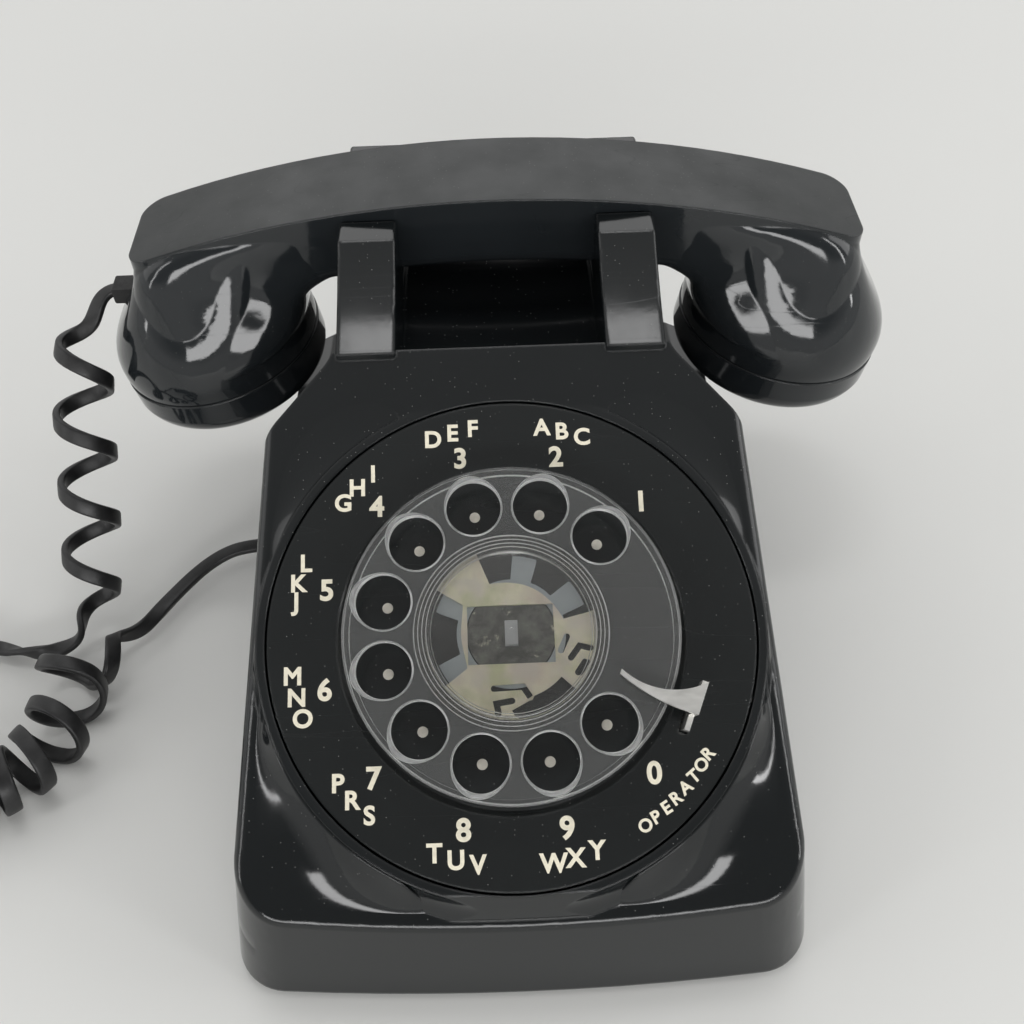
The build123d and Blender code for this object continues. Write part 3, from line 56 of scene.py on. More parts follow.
# vectors, each divided by its length
def unit(vectors):
    return vectors / np.linalg.norm(vectors, axis=-1, keepdims=True)


# a soft step: 3 t squared less 2 t cubed, where t runs from 0 at low to 1 at high
def softStep(value, low, high):
    t = np.clip((value - low) / (high - low), 0.0, 1.0)
    return t * t * (3.0 - 2.0 * t)


# a matrix at a place, with right, up and back as the columns of its turn
def axesAt(place, right, up, back):
    turn = np.stack([right, up, back], axis=1)
    return Matrix.Translation(place) @ Matrix(turn.tolist()).to_4x4()


# camera: angles in degrees, lens and sensor in millimetres
cameraSpec = {
    "place": (-0.00015, -0.1919, 0.2886), "yaw": 0.47, "pitch": 49.49, "roll": -1.79,
    "lens": 38.13, "sensor": 36.0, "clip": 0.01,
}


# forward turns sideways by yaw and down by pitch; roll turns right and up about it
def makeCamera(spec):
    yaw, pitch, roll = np.radians([spec["yaw"], spec["pitch"], spec["roll"]])
    level = np.array([np.cos(yaw), -np.sin(yaw), 0.0])
    ahead = np.array([np.sin(yaw), np.cos(yaw), 0.0])
    forward = np.cos(pitch) * ahead - np.sin(pitch) * np.array([0.0, 0.0, 1.0])
    upright = np.cross(level, forward)
    right = np.cos(roll) * level + np.sin(roll) * upright
    up = np.cos(roll) * upright - np.sin(roll) * level
    data = bpy.data.cameras.new("photoCamera")
    data.lens, data.sensor_width, data.clip_start = spec["lens"], spec["sensor"], spec["clip"]
    camera = bpy.data.objects.new("photoCamera", data)
    camera.matrix_world = axesAt(spec["place"], right, up, -forward)
    bpy.context.collection.objects.link(camera)
    bpy.context.scene.camera = camera


makeCamera(cameraSpec)
print("camera placed")


# all faces of a mesh smooth, or all flat
def shadeFaces(mesh, smooth):
    mesh.polygons.foreach_set("use_smooth", np.full(len(mesh.polygons), smooth))
    mesh.update()


# quads between neighbouring rows and columns of the grid; rows may close on themselves
def gridMesh(name, grid, closeRows=False, capEnds=False):
    rows, columns = grid.shape[:2]
    wrap = columns if closeRows else columns - 1
    i, j = np.meshgrid(np.arange(rows - 1), np.arange(wrap), indexing="ij")
    here, after = i * columns + j, i * columns + (j + 1) % columns
    quads = np.stack([here, after, after + columns, here + columns], axis=-1)
    faces = quads.reshape(-1, 4).tolist()
    if capEnds:
        faces.append(list(range(columns - 1, -1, -1)))
        faces.append(list(range((rows - 1) * columns, rows * columns)))
    mesh = bpy.data.meshes.new(name)
    mesh.from_pydata(grid.reshape(-1, 3).tolist(), [], faces)
    shadeFaces(mesh, True)
    return mesh


weldDistance = 1e-5


# points that share a place become one, and faces turn outwards
def weldMesh(mesh):
    work = bmesh.new()
    work.from_mesh(mesh)
    bmesh.ops.remove_doubles(work, verts=work.verts, dist=weldDistance)
    bmesh.ops.recalc_face_normals(work, faces=work.faces)
    work.to_mesh(mesh)
    work.free()


# several meshes as one, all faces smooth or all flat
def joinMeshes(name, meshes, smooth):
    work = bmesh.new()
    for part in meshes:
        work.from_mesh(part)
        bpy.data.meshes.remove(part)
    mesh = bpy.data.meshes.new(name)
    work.to_mesh(mesh)
    work.free()
    shadeFaces(mesh, smooth)
    return mesh


# a mesh's points as rows of three
def readPoints(mesh):
    flat = np.empty(3 * len(mesh.vertices))
    mesh.vertices.foreach_get("co", flat)
    return flat.reshape(-1, 3)


# rows of three as a mesh's points
def writePoints(mesh, points):
    mesh.vertices.foreach_set("co", points.ravel())
    mesh.update()


# a curve or a text read back as a mesh; the curve itself goes
def curveMesh(curve):
    holder = bpy.data.objects.new(curve.name, curve)
    bpy.context.collection.objects.link(holder)
    bpy.context.view_layer.update()
    mesh = bpy.data.meshes.new_from_object(holder)
    bpy.data.objects.remove(holder)
    bpy.data.curves.remove(curve)
    return mesh


# an object at the origin that rides a body and takes a material slot
def addPiece(name, mesh, body, material):
    piece = bpy.data.objects.new(name, mesh)
    bpy.context.collection.objects.link(piece)
    mesh.materials.clear()
    mesh.materials.append(material)
    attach(piece, body)
    return piece


# dial: angles in degrees, heights out of the number plate's outer edge
dialSpec = {
    "centre": (0.0, -0.0435, 0.0688), "tilt": 26.8, "plateRadius": 0.0595, "stepRadius": 0.0426,
    "cone": 0.0006, "recess": 0.0022, "holes": 10, "holeCircle": 0.0313, "firstAngle": 45.0,
    "step": 30.0,
}
tilt = math.radians(dialSpec["tilt"])
dialRight = np.array([1.0, 0.0, 0.0])
dialUp = np.array([0.0, math.cos(tilt), math.sin(tilt)])
dialOut = np.array([0.0, -math.sin(tilt), math.cos(tilt)])


# points given as right, up and out of the dial go to the frame
def onDial(local):
    right, up, out = local[:, :1], local[:, 1:2], local[:, 2:]
    return np.array(dialSpec["centre"]) + right * dialRight + up * dialUp + out * dialOut


# radius times the cosine and sine of each angle
def roundPoints(radius, turn):
    return np.stack([radius * np.cos(turn), radius * np.sin(turn)], axis=-1)


# each finger hole's angle: the first hole's plus a step for every next one
def holeAngles():
    return np.radians(dialSpec["firstAngle"] + dialSpec["step"] * np.arange(dialSpec["holes"]))


# each input takes a link where a socket is given, or else a value
def feed(tree, node, inputs):
    for key, value in inputs.items():
        if isinstance(value, bpy.types.NodeSocket):
            tree.links.new(value, node.inputs[key])
        else:
            node.inputs[key].default_value = value


# a shader node with its settings and inputs
def addNode(tree, kind, inputs=None, **settings):
    node = tree.nodes.new(kind)
    for key, value in settings.items():
        setattr(node, key, value)
    feed(tree, node, inputs or {})
    return node


# a new material with its tree, its shader and the object's own coordinates
def startMaterial(name, **values):
    material = bpy.data.materials.new(name)
    material.use_nodes = True
    tree = material.node_tree
    shader = tree.nodes["Principled BSDF"]
    feed(tree, shader, values)
    place = addNode(tree, "ShaderNodeTexCoord").outputs["Object"]
    return material, tree, shader, place


# a colour times a share, with full alpha
def rgba(colour, share=1.0):
    return (*[c * share for c in colour], 1.0)


# noise over the place, which may be stretched first
def noise(tree, place, scale, detail=3.0, roughness=0.55, stretch=None):
    if stretch:
        inputs = {"Vector": place, "Scale": stretch}
        place = addNode(tree, "ShaderNodeMapping", inputs).outputs["Vector"]
    inputs = {"Vector": place, "Scale": scale, "Detail": detail, "Roughness": roughness}
    return addNode(tree, "ShaderNodeTexNoise", inputs).outputs["Fac"]


# a value carried in proportion from low and high to two other limits, and held there
def span(tree, value, low, high, toLow=0.0, toHigh=1.0):
    inputs = {"Value": value, "From Min": low, "From Max": high, "To Min": toLow, "To Max": toHigh}
    return addNode(tree, "ShaderNodeMapRange", inputs).outputs["Result"]


# the first colour where the factor is 0, the second where it is 1
def blendColours(tree, factor, first, second):
    inputs = {0: factor, 6: first, 7: second}
    return addNode(tree, "ShaderNodeMix", inputs, data_type="RGBA").outputs[2]


# one sum, product or other operation on two values
def combine(tree, kind, first, second):
    return addNode(tree, "ShaderNodeMath", {0: first, 1: second}, operation=kind).outputs[0]


# a value without its sign
def unsigned(tree, value):
    return combine(tree, "ABSOLUTE", value, 0.0)


# fine relief from a height; with an edge radius, sharp edges shade as if rounded
def relief(tree, shader, height, strength, distance=0.0004, edgeRadius=0.0):
    inputs = {"Height": height, "Strength": strength, "Distance": distance}
    bump = addNode(tree, "ShaderNodeBump", inputs)
    if edgeRadius:
        softEdge = addNode(tree, "ShaderNodeBevel", {"Radius": edgeRadius}, samples=6)
        feed(tree, bump, {"Normal": softEdge.outputs["Normal"]})
    feed(tree, shader, {"Normal": bump.outputs["Normal"]})


# specks: small cells of a scattered pattern whose random shade stays below a share
def specks(tree, place, scale, size, share):
    cells = addNode(tree, "ShaderNodeTexVoronoi", {"Vector": place, "Scale": scale})
    near = span(tree, cells.outputs["Distance"], size, size * 0.55)
    shade = addNode(tree, "ShaderNodeSeparateColor", {"Color": cells.outputs["Color"]})
    picked = combine(tree, "LESS_THAN", shade.outputs["Red"], share)
    return combine(tree, "MULTIPLY", near, picked)


# hairline scratches: thin level lines of a noise stretched along one direction
def scratches(tree, place, scale, turn, width):
    inputs = {"Vector": place, "Rotation": turn, "Scale": (0.06, 1.0, 1.0)}
    turned = addNode(tree, "ShaderNodeMapping", inputs).outputs["Vector"]
    lines = noise(tree, turned, scale, detail=1.0)
    return span(tree, unsigned(tree, combine(tree, "SUBTRACT", lines, 0.5)), width, 0.0)


# how far a face looks up, from 0 at low to 1 at high
def upFacing(tree, low, high):
    normal = addNode(tree, "ShaderNodeTexCoord").outputs["Normal"]
    height = addNode(tree, "ShaderNodeSeparateXYZ", {"Vector": normal}).outputs["Z"]
    return span(tree, height, low, high)


# moulded plastic: dark clouds, a worn film and lint on faces that look up, hairlines and peel
def mouldedBlack(name, colour, gloss, dusty, film, filmFrom, filmTo, worn):
    material, tree, shader, place = startMaterial(name, IOR=1.5)
    cloud = noise(tree, place, scale=26.0, detail=4.0)
    dark = blendColours(tree, cloud, rgba(colour), rgba(colour, 1.7))
    patches = span(tree, noise(tree, place, scale=60.0, detail=5.0), 0.35, 0.75, worn * 0.6, worn)
    filmShare = combine(tree, "MULTIPLY", upFacing(tree, filmFrom, filmTo), patches)
    filmed = blendColours(tree, filmShare, dark, rgba(film))
    fine = specks(tree, place, scale=900.0, size=0.13, share=0.22)
    coarse = specks(tree, place, scale=420.0, size=0.07, share=0.06)
    both = combine(tree, "MAXIMUM", fine, coarse)
    lint = combine(tree, "MULTIPLY", both, upFacing(tree, 0.2, 0.7))
    lintShare = combine(tree, "MULTIPLY", lint, dusty)
    tone = blendColours(tree, lintShare, filmed, (0.42, 0.42, 0.40, 1.0))
    smudge = noise(tree, place, scale=45.0, detail=5.0, roughness=0.65)
    smear = span(tree, smudge, 0.4, 0.72, gloss, gloss + 0.07)
    hair = scratches(tree, place, scale=95.0, turn=(0.3, 0.2, 0.9), width=0.004)
    marks = combine(tree, "MAXIMUM", lint, combine(tree, "MULTIPLY", hair, 0.4))
    filmRough = combine(tree, "ADD", smear, combine(tree, "MULTIPLY", filmShare, 0.55))
    rough = combine(tree, "ADD", filmRough, combine(tree, "MULTIPLY", marks, 0.25))
    feed(tree, shader, {"Base Color": tone, "Roughness": rough})
    peel = noise(tree, place, scale=380.0, detail=2.0)
    height = combine(tree, "SUBTRACT", peel, combine(tree, "MULTIPLY", hair, 0.2))
    relief(tree, shader, height, strength=0.03, edgeRadius=0.0009)
    return material


# metal: a cloud between two tones, stains laid over it in turn, and a drawn grain
def metalFinish(name, low, high, rough, grain=(1.0, 1.0, 1.0), scale=300.0, stains=(), metallic=1.0):
    material, tree, shader, place = startMaterial(name, Metallic=metallic)
    tone = blendColours(tree, noise(tree, place, scale=90.0, detail=4.0), rgba(low), rgba(high))
    for k, stain in enumerate(stains):
        patch = span(tree, noise(tree, place, scale=75.0 + 40.0 * k, detail=4.0), 0.46, 0.62)
        tone = blendColours(tree, combine(tree, "MULTIPLY", patch, 0.75), tone, rgba(stain))
    drawn = noise(tree, place, scale, detail=4.0, roughness=0.6, stretch=grain)
    dull = span(tree, drawn, 0.25, 0.75, rough - 0.08, rough + 0.12)
    feed(tree, shader, {"Base Color": tone, "Roughness": dull})
    relief(tree, shader, drawn, strength=0.06, distance=0.0002)
    return material


# paint, rubber, board and sheath: one colour, darker and lighter along a grain
def dullFinish(name, colour, rough, scale, strength, stretch=None):
    material, tree, shader, place = startMaterial(name, IOR=1.48)
    grain = noise(tree, place, scale, detail=4.0, roughness=0.6, stretch=stretch)
    tone = blendColours(tree, span(tree, grain, 0.3, 0.7), rgba(colour, 0.72), rgba(colour, 1.3))
    broad = noise(tree, place, scale * 0.3)
    dull = span(tree, broad, 0.3, 0.7, rough - 0.08, rough + 0.1)
    feed(tree, shader, {"Base Color": tone, "Roughness": dull})
    relief(tree, shader, grain, strength)
    return material


# clear sheet: faces square to the dial's axis stay clear; cut edges are frosted, and painted pale as
# a painted highlight for the light they catch
def clearAcrylic(name, tint, clear, rough, edgeRough):
    material, tree, shader, place = startMaterial(name, IOR=1.49)
    inputs = {0: addNode(tree, "ShaderNodeTexCoord").outputs["Normal"], 1: dialOut.tolist()}
    facing = addNode(tree, "ShaderNodeVectorMath", inputs, operation="DOT_PRODUCT")
    edge = span(tree, unsigned(tree, facing.outputs["Value"]), 0.85, 0.45)
    through = span(tree, edge, 0.0, 1.0, clear, clear - 0.2)
    haze = noise(tree, place, scale=70.0, detail=4.0)
    body = blendColours(tree, haze, rgba(tint), rgba(tint, 0.95))
    # painted highlight: walls and edges turn pale white and let less through, standing for light
    # caught in them
    tone = blendColours(tree, edge, body, (1.0, 1.0, 0.99, 1.0))
    level = scratches(tree, place, scale=60.0, turn=(0.2, 0.5, 0.4), width=0.003)
    steep = scratches(tree, place, scale=45.0, turn=(0.7, 0.1, 2.1), width=0.003)
    marks = combine(tree, "MAXIMUM", level, steep)
    hazed = span(tree, haze, 0.3, 0.8, rough, rough + 0.03)
    flat = combine(tree, "ADD", hazed, combine(tree, "MULTIPLY", marks, 0.06))
    dull = combine(tree, "MAXIMUM", flat, combine(tree, "MULTIPLY", edge, edgeRough))
    feed(tree, shader, {"Transmission Weight": through, "Base Color": tone, "Roughness": dull})
    relief(tree, shader, marks, strength=0.010, distance=0.0002)
    return material


# dark flaked flange with a bright flatted end: shade by the place across the dial's axis
def shaftFinish(name, dark, bright, endHalf):
    material, tree, shader, place = startMaterial(name, Metallic=1.0)
    inputs = {0: place, 1: dialSpec["centre"]}
    moved = addNode(tree, "ShaderNodeVectorMath", inputs, operation="SUBTRACT").outputs["Vector"]
    inputs = {"Vector": moved, "Angle": -tilt}
    turned = addNode(tree, "ShaderNodeVectorRotate", inputs, rotation_type="X_AXIS")
    across = addNode(tree, "ShaderNodeSeparateXYZ", {"Vector": turned.outputs["Vector"]})
    sideways = combine(tree, "DIVIDE", unsigned(tree, across.outputs["X"]), endHalf[0])
    upwards = combine(tree, "DIVIDE", unsigned(tree, across.outputs["Y"]), endHalf[1])
    end = span(tree, combine(tree, "MAXIMUM", sideways, upwards), 1.08, 1.0)
    worn = noise(tree, place, scale=240.0, detail=5.0, roughness=0.65)
    flange = blendColours(tree, span(tree, worn, 0.4, 0.65), rgba(dark), rgba(dark, 2.2))
    chips = span(tree, noise(tree, place, scale=330.0, detail=5.0, roughness=0.7), 0.60, 0.68)
    flakes = combine(tree, "MULTIPLY", chips, span(tree, worn, 0.45, 0.55))
    flakeShare = combine(tree, "MULTIPLY", flakes, 0.7)
    flaked = blendColours(tree, flakeShare, flange, (0.85, 0.80, 0.66, 1.0))
    tone = blendColours(tree, end, flaked, rgba(bright))
    feed(tree, shader, {"Base Color": tone, "Roughness": span(tree, worn, 0.3, 0.7, 0.32, 0.55)})
    relief(tree, shader, worn, strength=0.10, distance=0.0002)
    return material


# ink and paint: one colour, fading in fine patches
def printInk(name, colour):
    material, tree, shader, place = startMaterial(name, IOR=1.45)
    fade = noise(tree, place, scale=700.0, detail=4.0)
    tone = blendColours(tree, span(tree, fade, 0.35, 0.75), rgba(colour), rgba(colour, 0.82))
    feed(tree, shader, {"Base Color": tone, "Roughness": span(tree, fade, 0.3, 0.7, 0.38, 0.55)})
    relief(tree, shader, fade, strength=0.05, distance=0.0001)
    return material


finishes = {
    "black_plastic": mouldedBlack(
        "housingGloss", colour=(0.0045, 0.0055, 0.0060), gloss=0.05, dusty=0.40,
        film=(0.022, 0.025, 0.026), filmFrom=0.55, filmTo=0.98, worn=0.12),
    "handset_plastic": mouldedBlack(
        "handsetGloss", colour=(0.010, 0.0118, 0.0132), gloss=0.05, dusty=0.35,
        film=(0.021, 0.0235, 0.0235), filmFrom=0.86, filmTo=0.95, worn=0.85),
    "plate_plastic": mouldedBlack(
        "dialPlateGloss", colour=(0.005, 0.006, 0.0062), gloss=0.13, dusty=0.40,
        film=(0.020, 0.023, 0.023), filmFrom=0.3, filmTo=0.9, worn=0.15),
    "clear_plastic": clearAcrylic(
        "wheelAcrylic", tint=(0.90, 0.91, 0.90), clear=0.965, rough=0.02, edgeRough=0.38),
    "zinc_plate": metalFinish(
        "yellowZinc", low=(0.88, 0.82, 0.62), high=(1.0, 0.95, 0.78), rough=0.36, scale=500.0,
        metallic=0.85, stains=((0.70, 0.55, 0.50), (0.66, 0.68, 0.42), (0.80, 0.74, 0.66))),
    "steel": metalFinish(
        "springSteel", low=(0.36, 0.40, 0.43), high=(0.52, 0.56, 0.59), rough=0.42,
        grain=(1.0, 6.0, 6.0)),
    "nickel": metalFinish(
        "satinNickel", low=(0.95, 0.94, 0.90), high=(1.0, 0.99, 0.95), rough=0.34,
        grain=(0.4, 1.0, 1.0), scale=500.0),
    "painted_steel": dullFinish(
        "underPaint", colour=(0.022, 0.022, 0.024), rough=0.5, scale=700.0, strength=0.12),
    "rubber": dullFinish(
        "blackRubber", colour=(0.018, 0.018, 0.018), rough=0.66, scale=900.0, strength=0.15),
    "brass": metalFinish(
        "drawnBrass", low=(0.70, 0.52, 0.24), high=(0.80, 0.62, 0.30), rough=0.28, scale=420.0,
        stains=((0.45, 0.30, 0.14),)),
    "insulator": dullFinish(
        "brownBoard", colour=(0.10, 0.075, 0.055), rough=0.55, scale=500.0, strength=0.10),
    "coil_wrap": dullFinish(
        "varnishedTape", colour=(0.42, 0.27, 0.10), rough=0.4, scale=600.0, strength=0.2,
        stretch=(1.0, 1.0, 9.0)),
    "aluminium": metalFinish(
        "spunAluminium", low=(0.66, 0.67, 0.68), high=(0.76, 0.77, 0.78), rough=0.3, scale=600.0),
    "cord_sheath": dullFinish(
        "cordSheath", colour=(0.014, 0.014, 0.0145), rough=0.42, scale=500.0, strength=0.05),
}
shaftMetal = shaftFinish(
    "bluedShaft", dark=(0.10, 0.10, 0.092), bright=(0.55, 0.56, 0.58), endHalf=(0.0015, 0.0029))
windowMaterial = clearAcrylic(
    "windowAcrylic", tint=(0.95, 0.95, 0.93), clear=0.985, rough=0.015, edgeRough=0.30)
# pale, half-clear beads: a painted highlight, standing for light caught along the hole and step
# edges
beadHighlightMaterial = clearAcrylic(
    "beadHighlightAcrylic", tint=(1.0, 1.0, 1.0), clear=0.66, rough=0.05, edgeRough=0.30)
inkMaterial = printInk("creamInk", colour=(0.90, 0.84, 0.68))
dotMaterial = printInk("whiteDotPaint", colour=(0.74, 0.70, 0.62))
for part in frame["record"]["subparts"]:
    node = nodes[part["node"]]
    node.data.materials.clear()
    node.data.materials.append(finishes[part["material_slot"]])
nodes["dial_shaft"].data.materials[0] = shaftMetal
nodes["card_window"].data.materials[0] = windowMaterial
print("finishes on the packed nodes:", len(finishes))


# curly cord: the pairs are offsets along the route from a named place to where a change is full
cordSpec = {
    "width": 0.0046, "thickness": 0.0022, "round": 5.0, "sides": 16, "step": 0.0007,
    "fineStep": 0.00012, "clearance": 0.0003,
    "exit": (-0.1154, 0.0765, 0.085),
    "drop": [(-0.120, 0.0765, 0.085), (-0.126, 0.0615, 0.077), (-0.1288, 0.036, 0.041),
             (-0.1315, 0.011, 0.009)],
    "strand": [(-0.138, -0.001, 0.004), (-0.160, 0.004, 0.004), (-0.184, 0.002, 0.006)],
    "bendCentre": (-0.162, -0.022, 0.0092), "bend": 0.031, "bendFrom": 280.0, "bendTo": 473.0,
    "bendPoints": 8, "coilFrom": 286.0, "coilTo": 469.0,
    "tail": [(-0.126, -0.0055, 0.0078), (-0.1195, 0.0025, 0.0052), (-0.107, 0.0245, 0.0045),
             (-0.097, 0.0335, 0.007), (-0.0865, 0.036, 0.010), (-0.0756, 0.036, 0.010)],
    "curl": 0.0079, "strandCurl": 0.0012, "looseSwell": 0.25, "startAngle": -90.0,
    "dropPitch": 0.0215, "strandPitch": 0.045, "coilPitch": 0.0068, "loosePitch": 0.0150,
    "tailPitch": 0.060,
    "dropStart": 0.004, "dropFull": 0.006, "dropEnd": (-0.012, 0.010), "strandStart": (0.0, 0.02),
    "coilStart": (-0.008, 0.010), "coilTurns": (-0.002, 0.020), "coilEnd": (-0.002, 0.030),
    "loosen": (-0.050, 0.0), "turnStart": (0.002, 0.024), "turnEnd": (-0.055, -0.035),
}


# places on the coil's bend: centre plus radius times the sine and less the cosine of the angle
def onBend(spec, degrees):
    way = np.radians(np.atleast_1d(degrees))
    around = np.stack([np.sin(way), -np.cos(way), np.zeros(len(way))], axis=1)
    return np.array(spec["bendCentre"]) + spec["bend"] * around


# the route's control points, read back as a fine line from one NURBS curve without bevel
def routeLine(spec):
    bend = onBend(spec, np.linspace(spec["bendFrom"], spec["bendTo"], spec["bendPoints"]))
    points = np.array([spec["exit"], *spec["drop"], *spec["strand"], *bend, *spec["tail"]])
    curve = bpy.data.curves.new("cordRoute", "CURVE")
    curve.dimensions = "3D"
    curve.resolution_u = 40
    spline = curve.splines.new("NURBS")
    spline.points.add(len(points) - 1)
    spline.points.foreach_set("co", np.column_stack([points, np.ones(len(points))]).ravel())
    spline.order_u = 3
    spline.use_endpoint_u = True
    mesh = curveMesh(curve)
    line = readPoints(mesh)
    bpy.data.meshes.remove(mesh)
    return line


# the sum of the steps up to each point
def distancesAlong(line):
    return np.concatenate([[0.0], np.cumsum(np.linalg.norm(np.diff(line, axis=0), axis=1))])


# even distances at about the given step, and each list of rows read off there
def evenly(along, step, *lists):
    wanted = np.linspace(0.0, along[-1], int(along[-1] / step) + 1)
    picked = [[np.interp(wanted, along, rows[:, k]) for k in range(3)] for rows in lists]
    return wanted, *[np.stack(columns, axis=1) for columns in picked]


# a soft step between two offsets from a place along the route
def ramp(along, place, offsets):
    return softStep(along, place + offsets[0], place + offsets[1])


# curls: the route plus a radius times a direction that turns round it, once for each pitch
# travelled; the whole is rounded to a half turn
def curledLine(spec):
    rough = routeLine(spec)
    along, route = evenly(distancesAlong(rough), spec["fineStep"], rough)
    heading = unit(np.gradient(route, axis=0))
    side = unit(np.stack([-heading[:, 1], heading[:, 0], np.zeros(len(route))], axis=1))
    rise = np.cross(heading, side)
    marks = np.vstack([spec["drop"][1], spec["drop"][3], onBend(spec, spec["coilFrom"]),
                       onBend(spec, spec["coilTo"])])
    gaps = np.linalg.norm(route[:, None, :] - marks, axis=2)
    top, foot, coilStart, coilEnd = along[np.argmin(gaps, axis=0)]
    coilBegun = ramp(along, coilStart, spec["coilStart"])
    inDrop = softStep(along, spec["dropStart"], top + spec["dropFull"])
    inDrop = inDrop * (1.0 - ramp(along, foot, spec["dropEnd"]))
    inCoil = coilBegun * (1.0 - ramp(along, coilEnd, spec["coilEnd"]))
    inStrand = ramp(along, foot, spec["strandStart"]) * (1.0 - coilBegun)
    loose = ramp(along, coilEnd, spec["loosen"])
    swell = spec["curl"] * spec["looseSwell"] * loose * inCoil
    radius = spec["curl"] * (inDrop + inCoil) + swell + spec["strandCurl"] * inStrand
    route[:, 2] += swell
    coilPitch = spec["coilPitch"] + (spec["loosePitch"] - spec["coilPitch"]) * loose
    isTail = along > 0.5 * (coilStart + coilEnd)
    restPitch = np.where(isTail, spec["tailPitch"], spec["strandPitch"])
    inCoilTurns = inCoil * ramp(along, coilStart, spec["coilTurns"])
    inRest = np.clip(1.0 - inDrop - inCoil, 0.0, 1.0)
    turnsPer = inDrop / spec["dropPitch"] + inCoilTurns / coilPitch + inRest / restPitch
    turnsPer *= ramp(along, 0.0, spec["turnStart"])
    turnsPer *= 1.0 - ramp(along, along[-1], spec["turnEnd"])
    turned = np.concatenate([[0.0], np.cumsum(turnsPer[1:] * np.diff(along))])
    turned *= round(2.0 * turned[-1]) / (2.0 * turned[-1])
    angle = math.radians(spec["startAngle"]) - 2.0 * math.pi * turned
    outward = np.cos(angle)[:, None] * side + np.sin(angle)[:, None] * rise
    return route + radius[:, None] * outward, outward


# a cosine or sine raised to a power that keeps its sign, which squares a round section
def squared(wave, power):
    return np.sign(wave) * np.abs(wave) ** power


# a rounded strip: its section is a superellipse, thin along the curl's radius; where it would
# dip below the clearance it is raised
def stripMesh(spec):
    fineLine, fineOut = curledLine(spec)
    _, line, outward = evenly(distancesAlong(fineLine), spec["step"], fineLine, fineOut)
    heading = unit(np.gradient(line, axis=0))
    outward = unit(outward - heading * np.sum(outward * heading, axis=1, keepdims=True))
    across = np.cross(heading, outward)
    halfThin, halfWide = 0.5 * spec["thickness"], 0.5 * spec["width"]
    lowest = line[:, 2] - halfThin * np.abs(outward[:, 2]) - halfWide * np.abs(across[:, 2])
    line[:, 2] += np.maximum(spec["clearance"] - lowest, 0.0)
    turn = np.linspace(0.0, 2.0 * np.pi, spec["sides"], endpoint=False)
    thin = halfThin * squared(np.cos(turn), 2.0 / spec["round"])
    wide = halfWide * squared(np.sin(turn), 2.0 / spec["round"])
    section = thin[:, None] * outward[:, None, :] + wide[:, None] * across[:, None, :]
    return gridMesh("curly_cord", line[:, None, :] + section, closeRows=True, capEnds=True), line


# the strip stands for four nodes
def makeCord(spec):
    mesh, line = stripMesh(spec)
    cord = bpy.data.objects.new("curly_cord", mesh)
    bpy.context.collection.objects.link(cord)
    mesh.materials.append(finishes["cord_sheath"])
    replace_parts(cord, "cord_drop", "cord_strand", "cord_coil", "cord_tail")
    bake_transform(cord)


makeCord(cordSpec)


# lettering on the number plate: bold, extrude and capHeight in units of the font
printSpec = {
    "digitRadius": 0.0468, "digitHeight": 0.0054, "digitTurn": -1.0, "letterRadius": 0.0537,
    "letterHeight": 0.0045, "letterStep": 5.6, "wordRadius": 0.0543, "wordHeight": 0.0031,
    "wordFrom": -57.0, "wordTo": -33.0, "wordLean": 0.75, "thick": 0.00008, "raised": 0.4,
    "bold": 0.032, "extrude": 0.05, "capHeight": 0.69, "word": "OPERATOR",
    "groups": {2: "CBA", 3: "FED", 4: "IHG", 5: "LKJ", 6: "MNO", 7: "PRS", 8: "TUV", 9: "WXY"},
}


# the plate's cone falls in proportion from its outer edge to the step
def plateLevel(radius):
    share = (dialSpec["plateRadius"] - radius) / (dialSpec["plateRadius"] - dialSpec["stepRadius"])
    return -dialSpec["cone"] * share


# one character as a thin mesh about its own middle, of the given height
def glyph(character, height):
    curve = bpy.data.curves.new("glyph", "FONT")
    curve.body = character
    curve.extrude = printSpec["extrude"]
    curve.bevel_depth = printSpec["bold"]
    curve.bevel_resolution = 0
    curve.resolution_u = 6
    mesh = curveMesh(curve)
    weldMesh(mesh)
    points = readPoints(mesh)
    low, high = points.min(axis=0), points.max(axis=0)
    scale = height / (printSpec["capHeight"] + 2.0 * printSpec["bold"])
    sizes = np.array([scale, scale, printSpec["thick"] / (high[2] - low[2])])
    return mesh, (points - 0.5 * (low + high)) * sizes


# characters set at a radius and angle on the plate's cone, each turned by its own lean
def printCharacters(name, entries):
    meshes = []
    for character, radius, angle, lean, height in entries:
        mesh, points = glyph(character, height)
        a, b = math.radians(angle), math.radians(lean)
        turn = np.array([[math.cos(b), math.sin(b)], [-math.sin(b), math.cos(b)]])
        flat = points[:, :2] @ turn + radius * np.array([math.cos(a), math.sin(a)])
        level = plateLevel(np.linalg.norm(flat, axis=1)) + printSpec["raised"] * printSpec["thick"]
        writePoints(mesh, onDial(np.column_stack([flat, level + points[:, 2]])))
        meshes.append(mesh)
    addPiece(name, joinMeshes(name, meshes, False), "base", inkMaterial)


# each digit stands beside its finger hole, turned a little back; 0 comes after 9
def digitAngle(digit):
    place = (digit - 1) % dialSpec["holes"]
    return dialSpec["firstAngle"] + printSpec["digitTurn"] + dialSpec["step"] * place


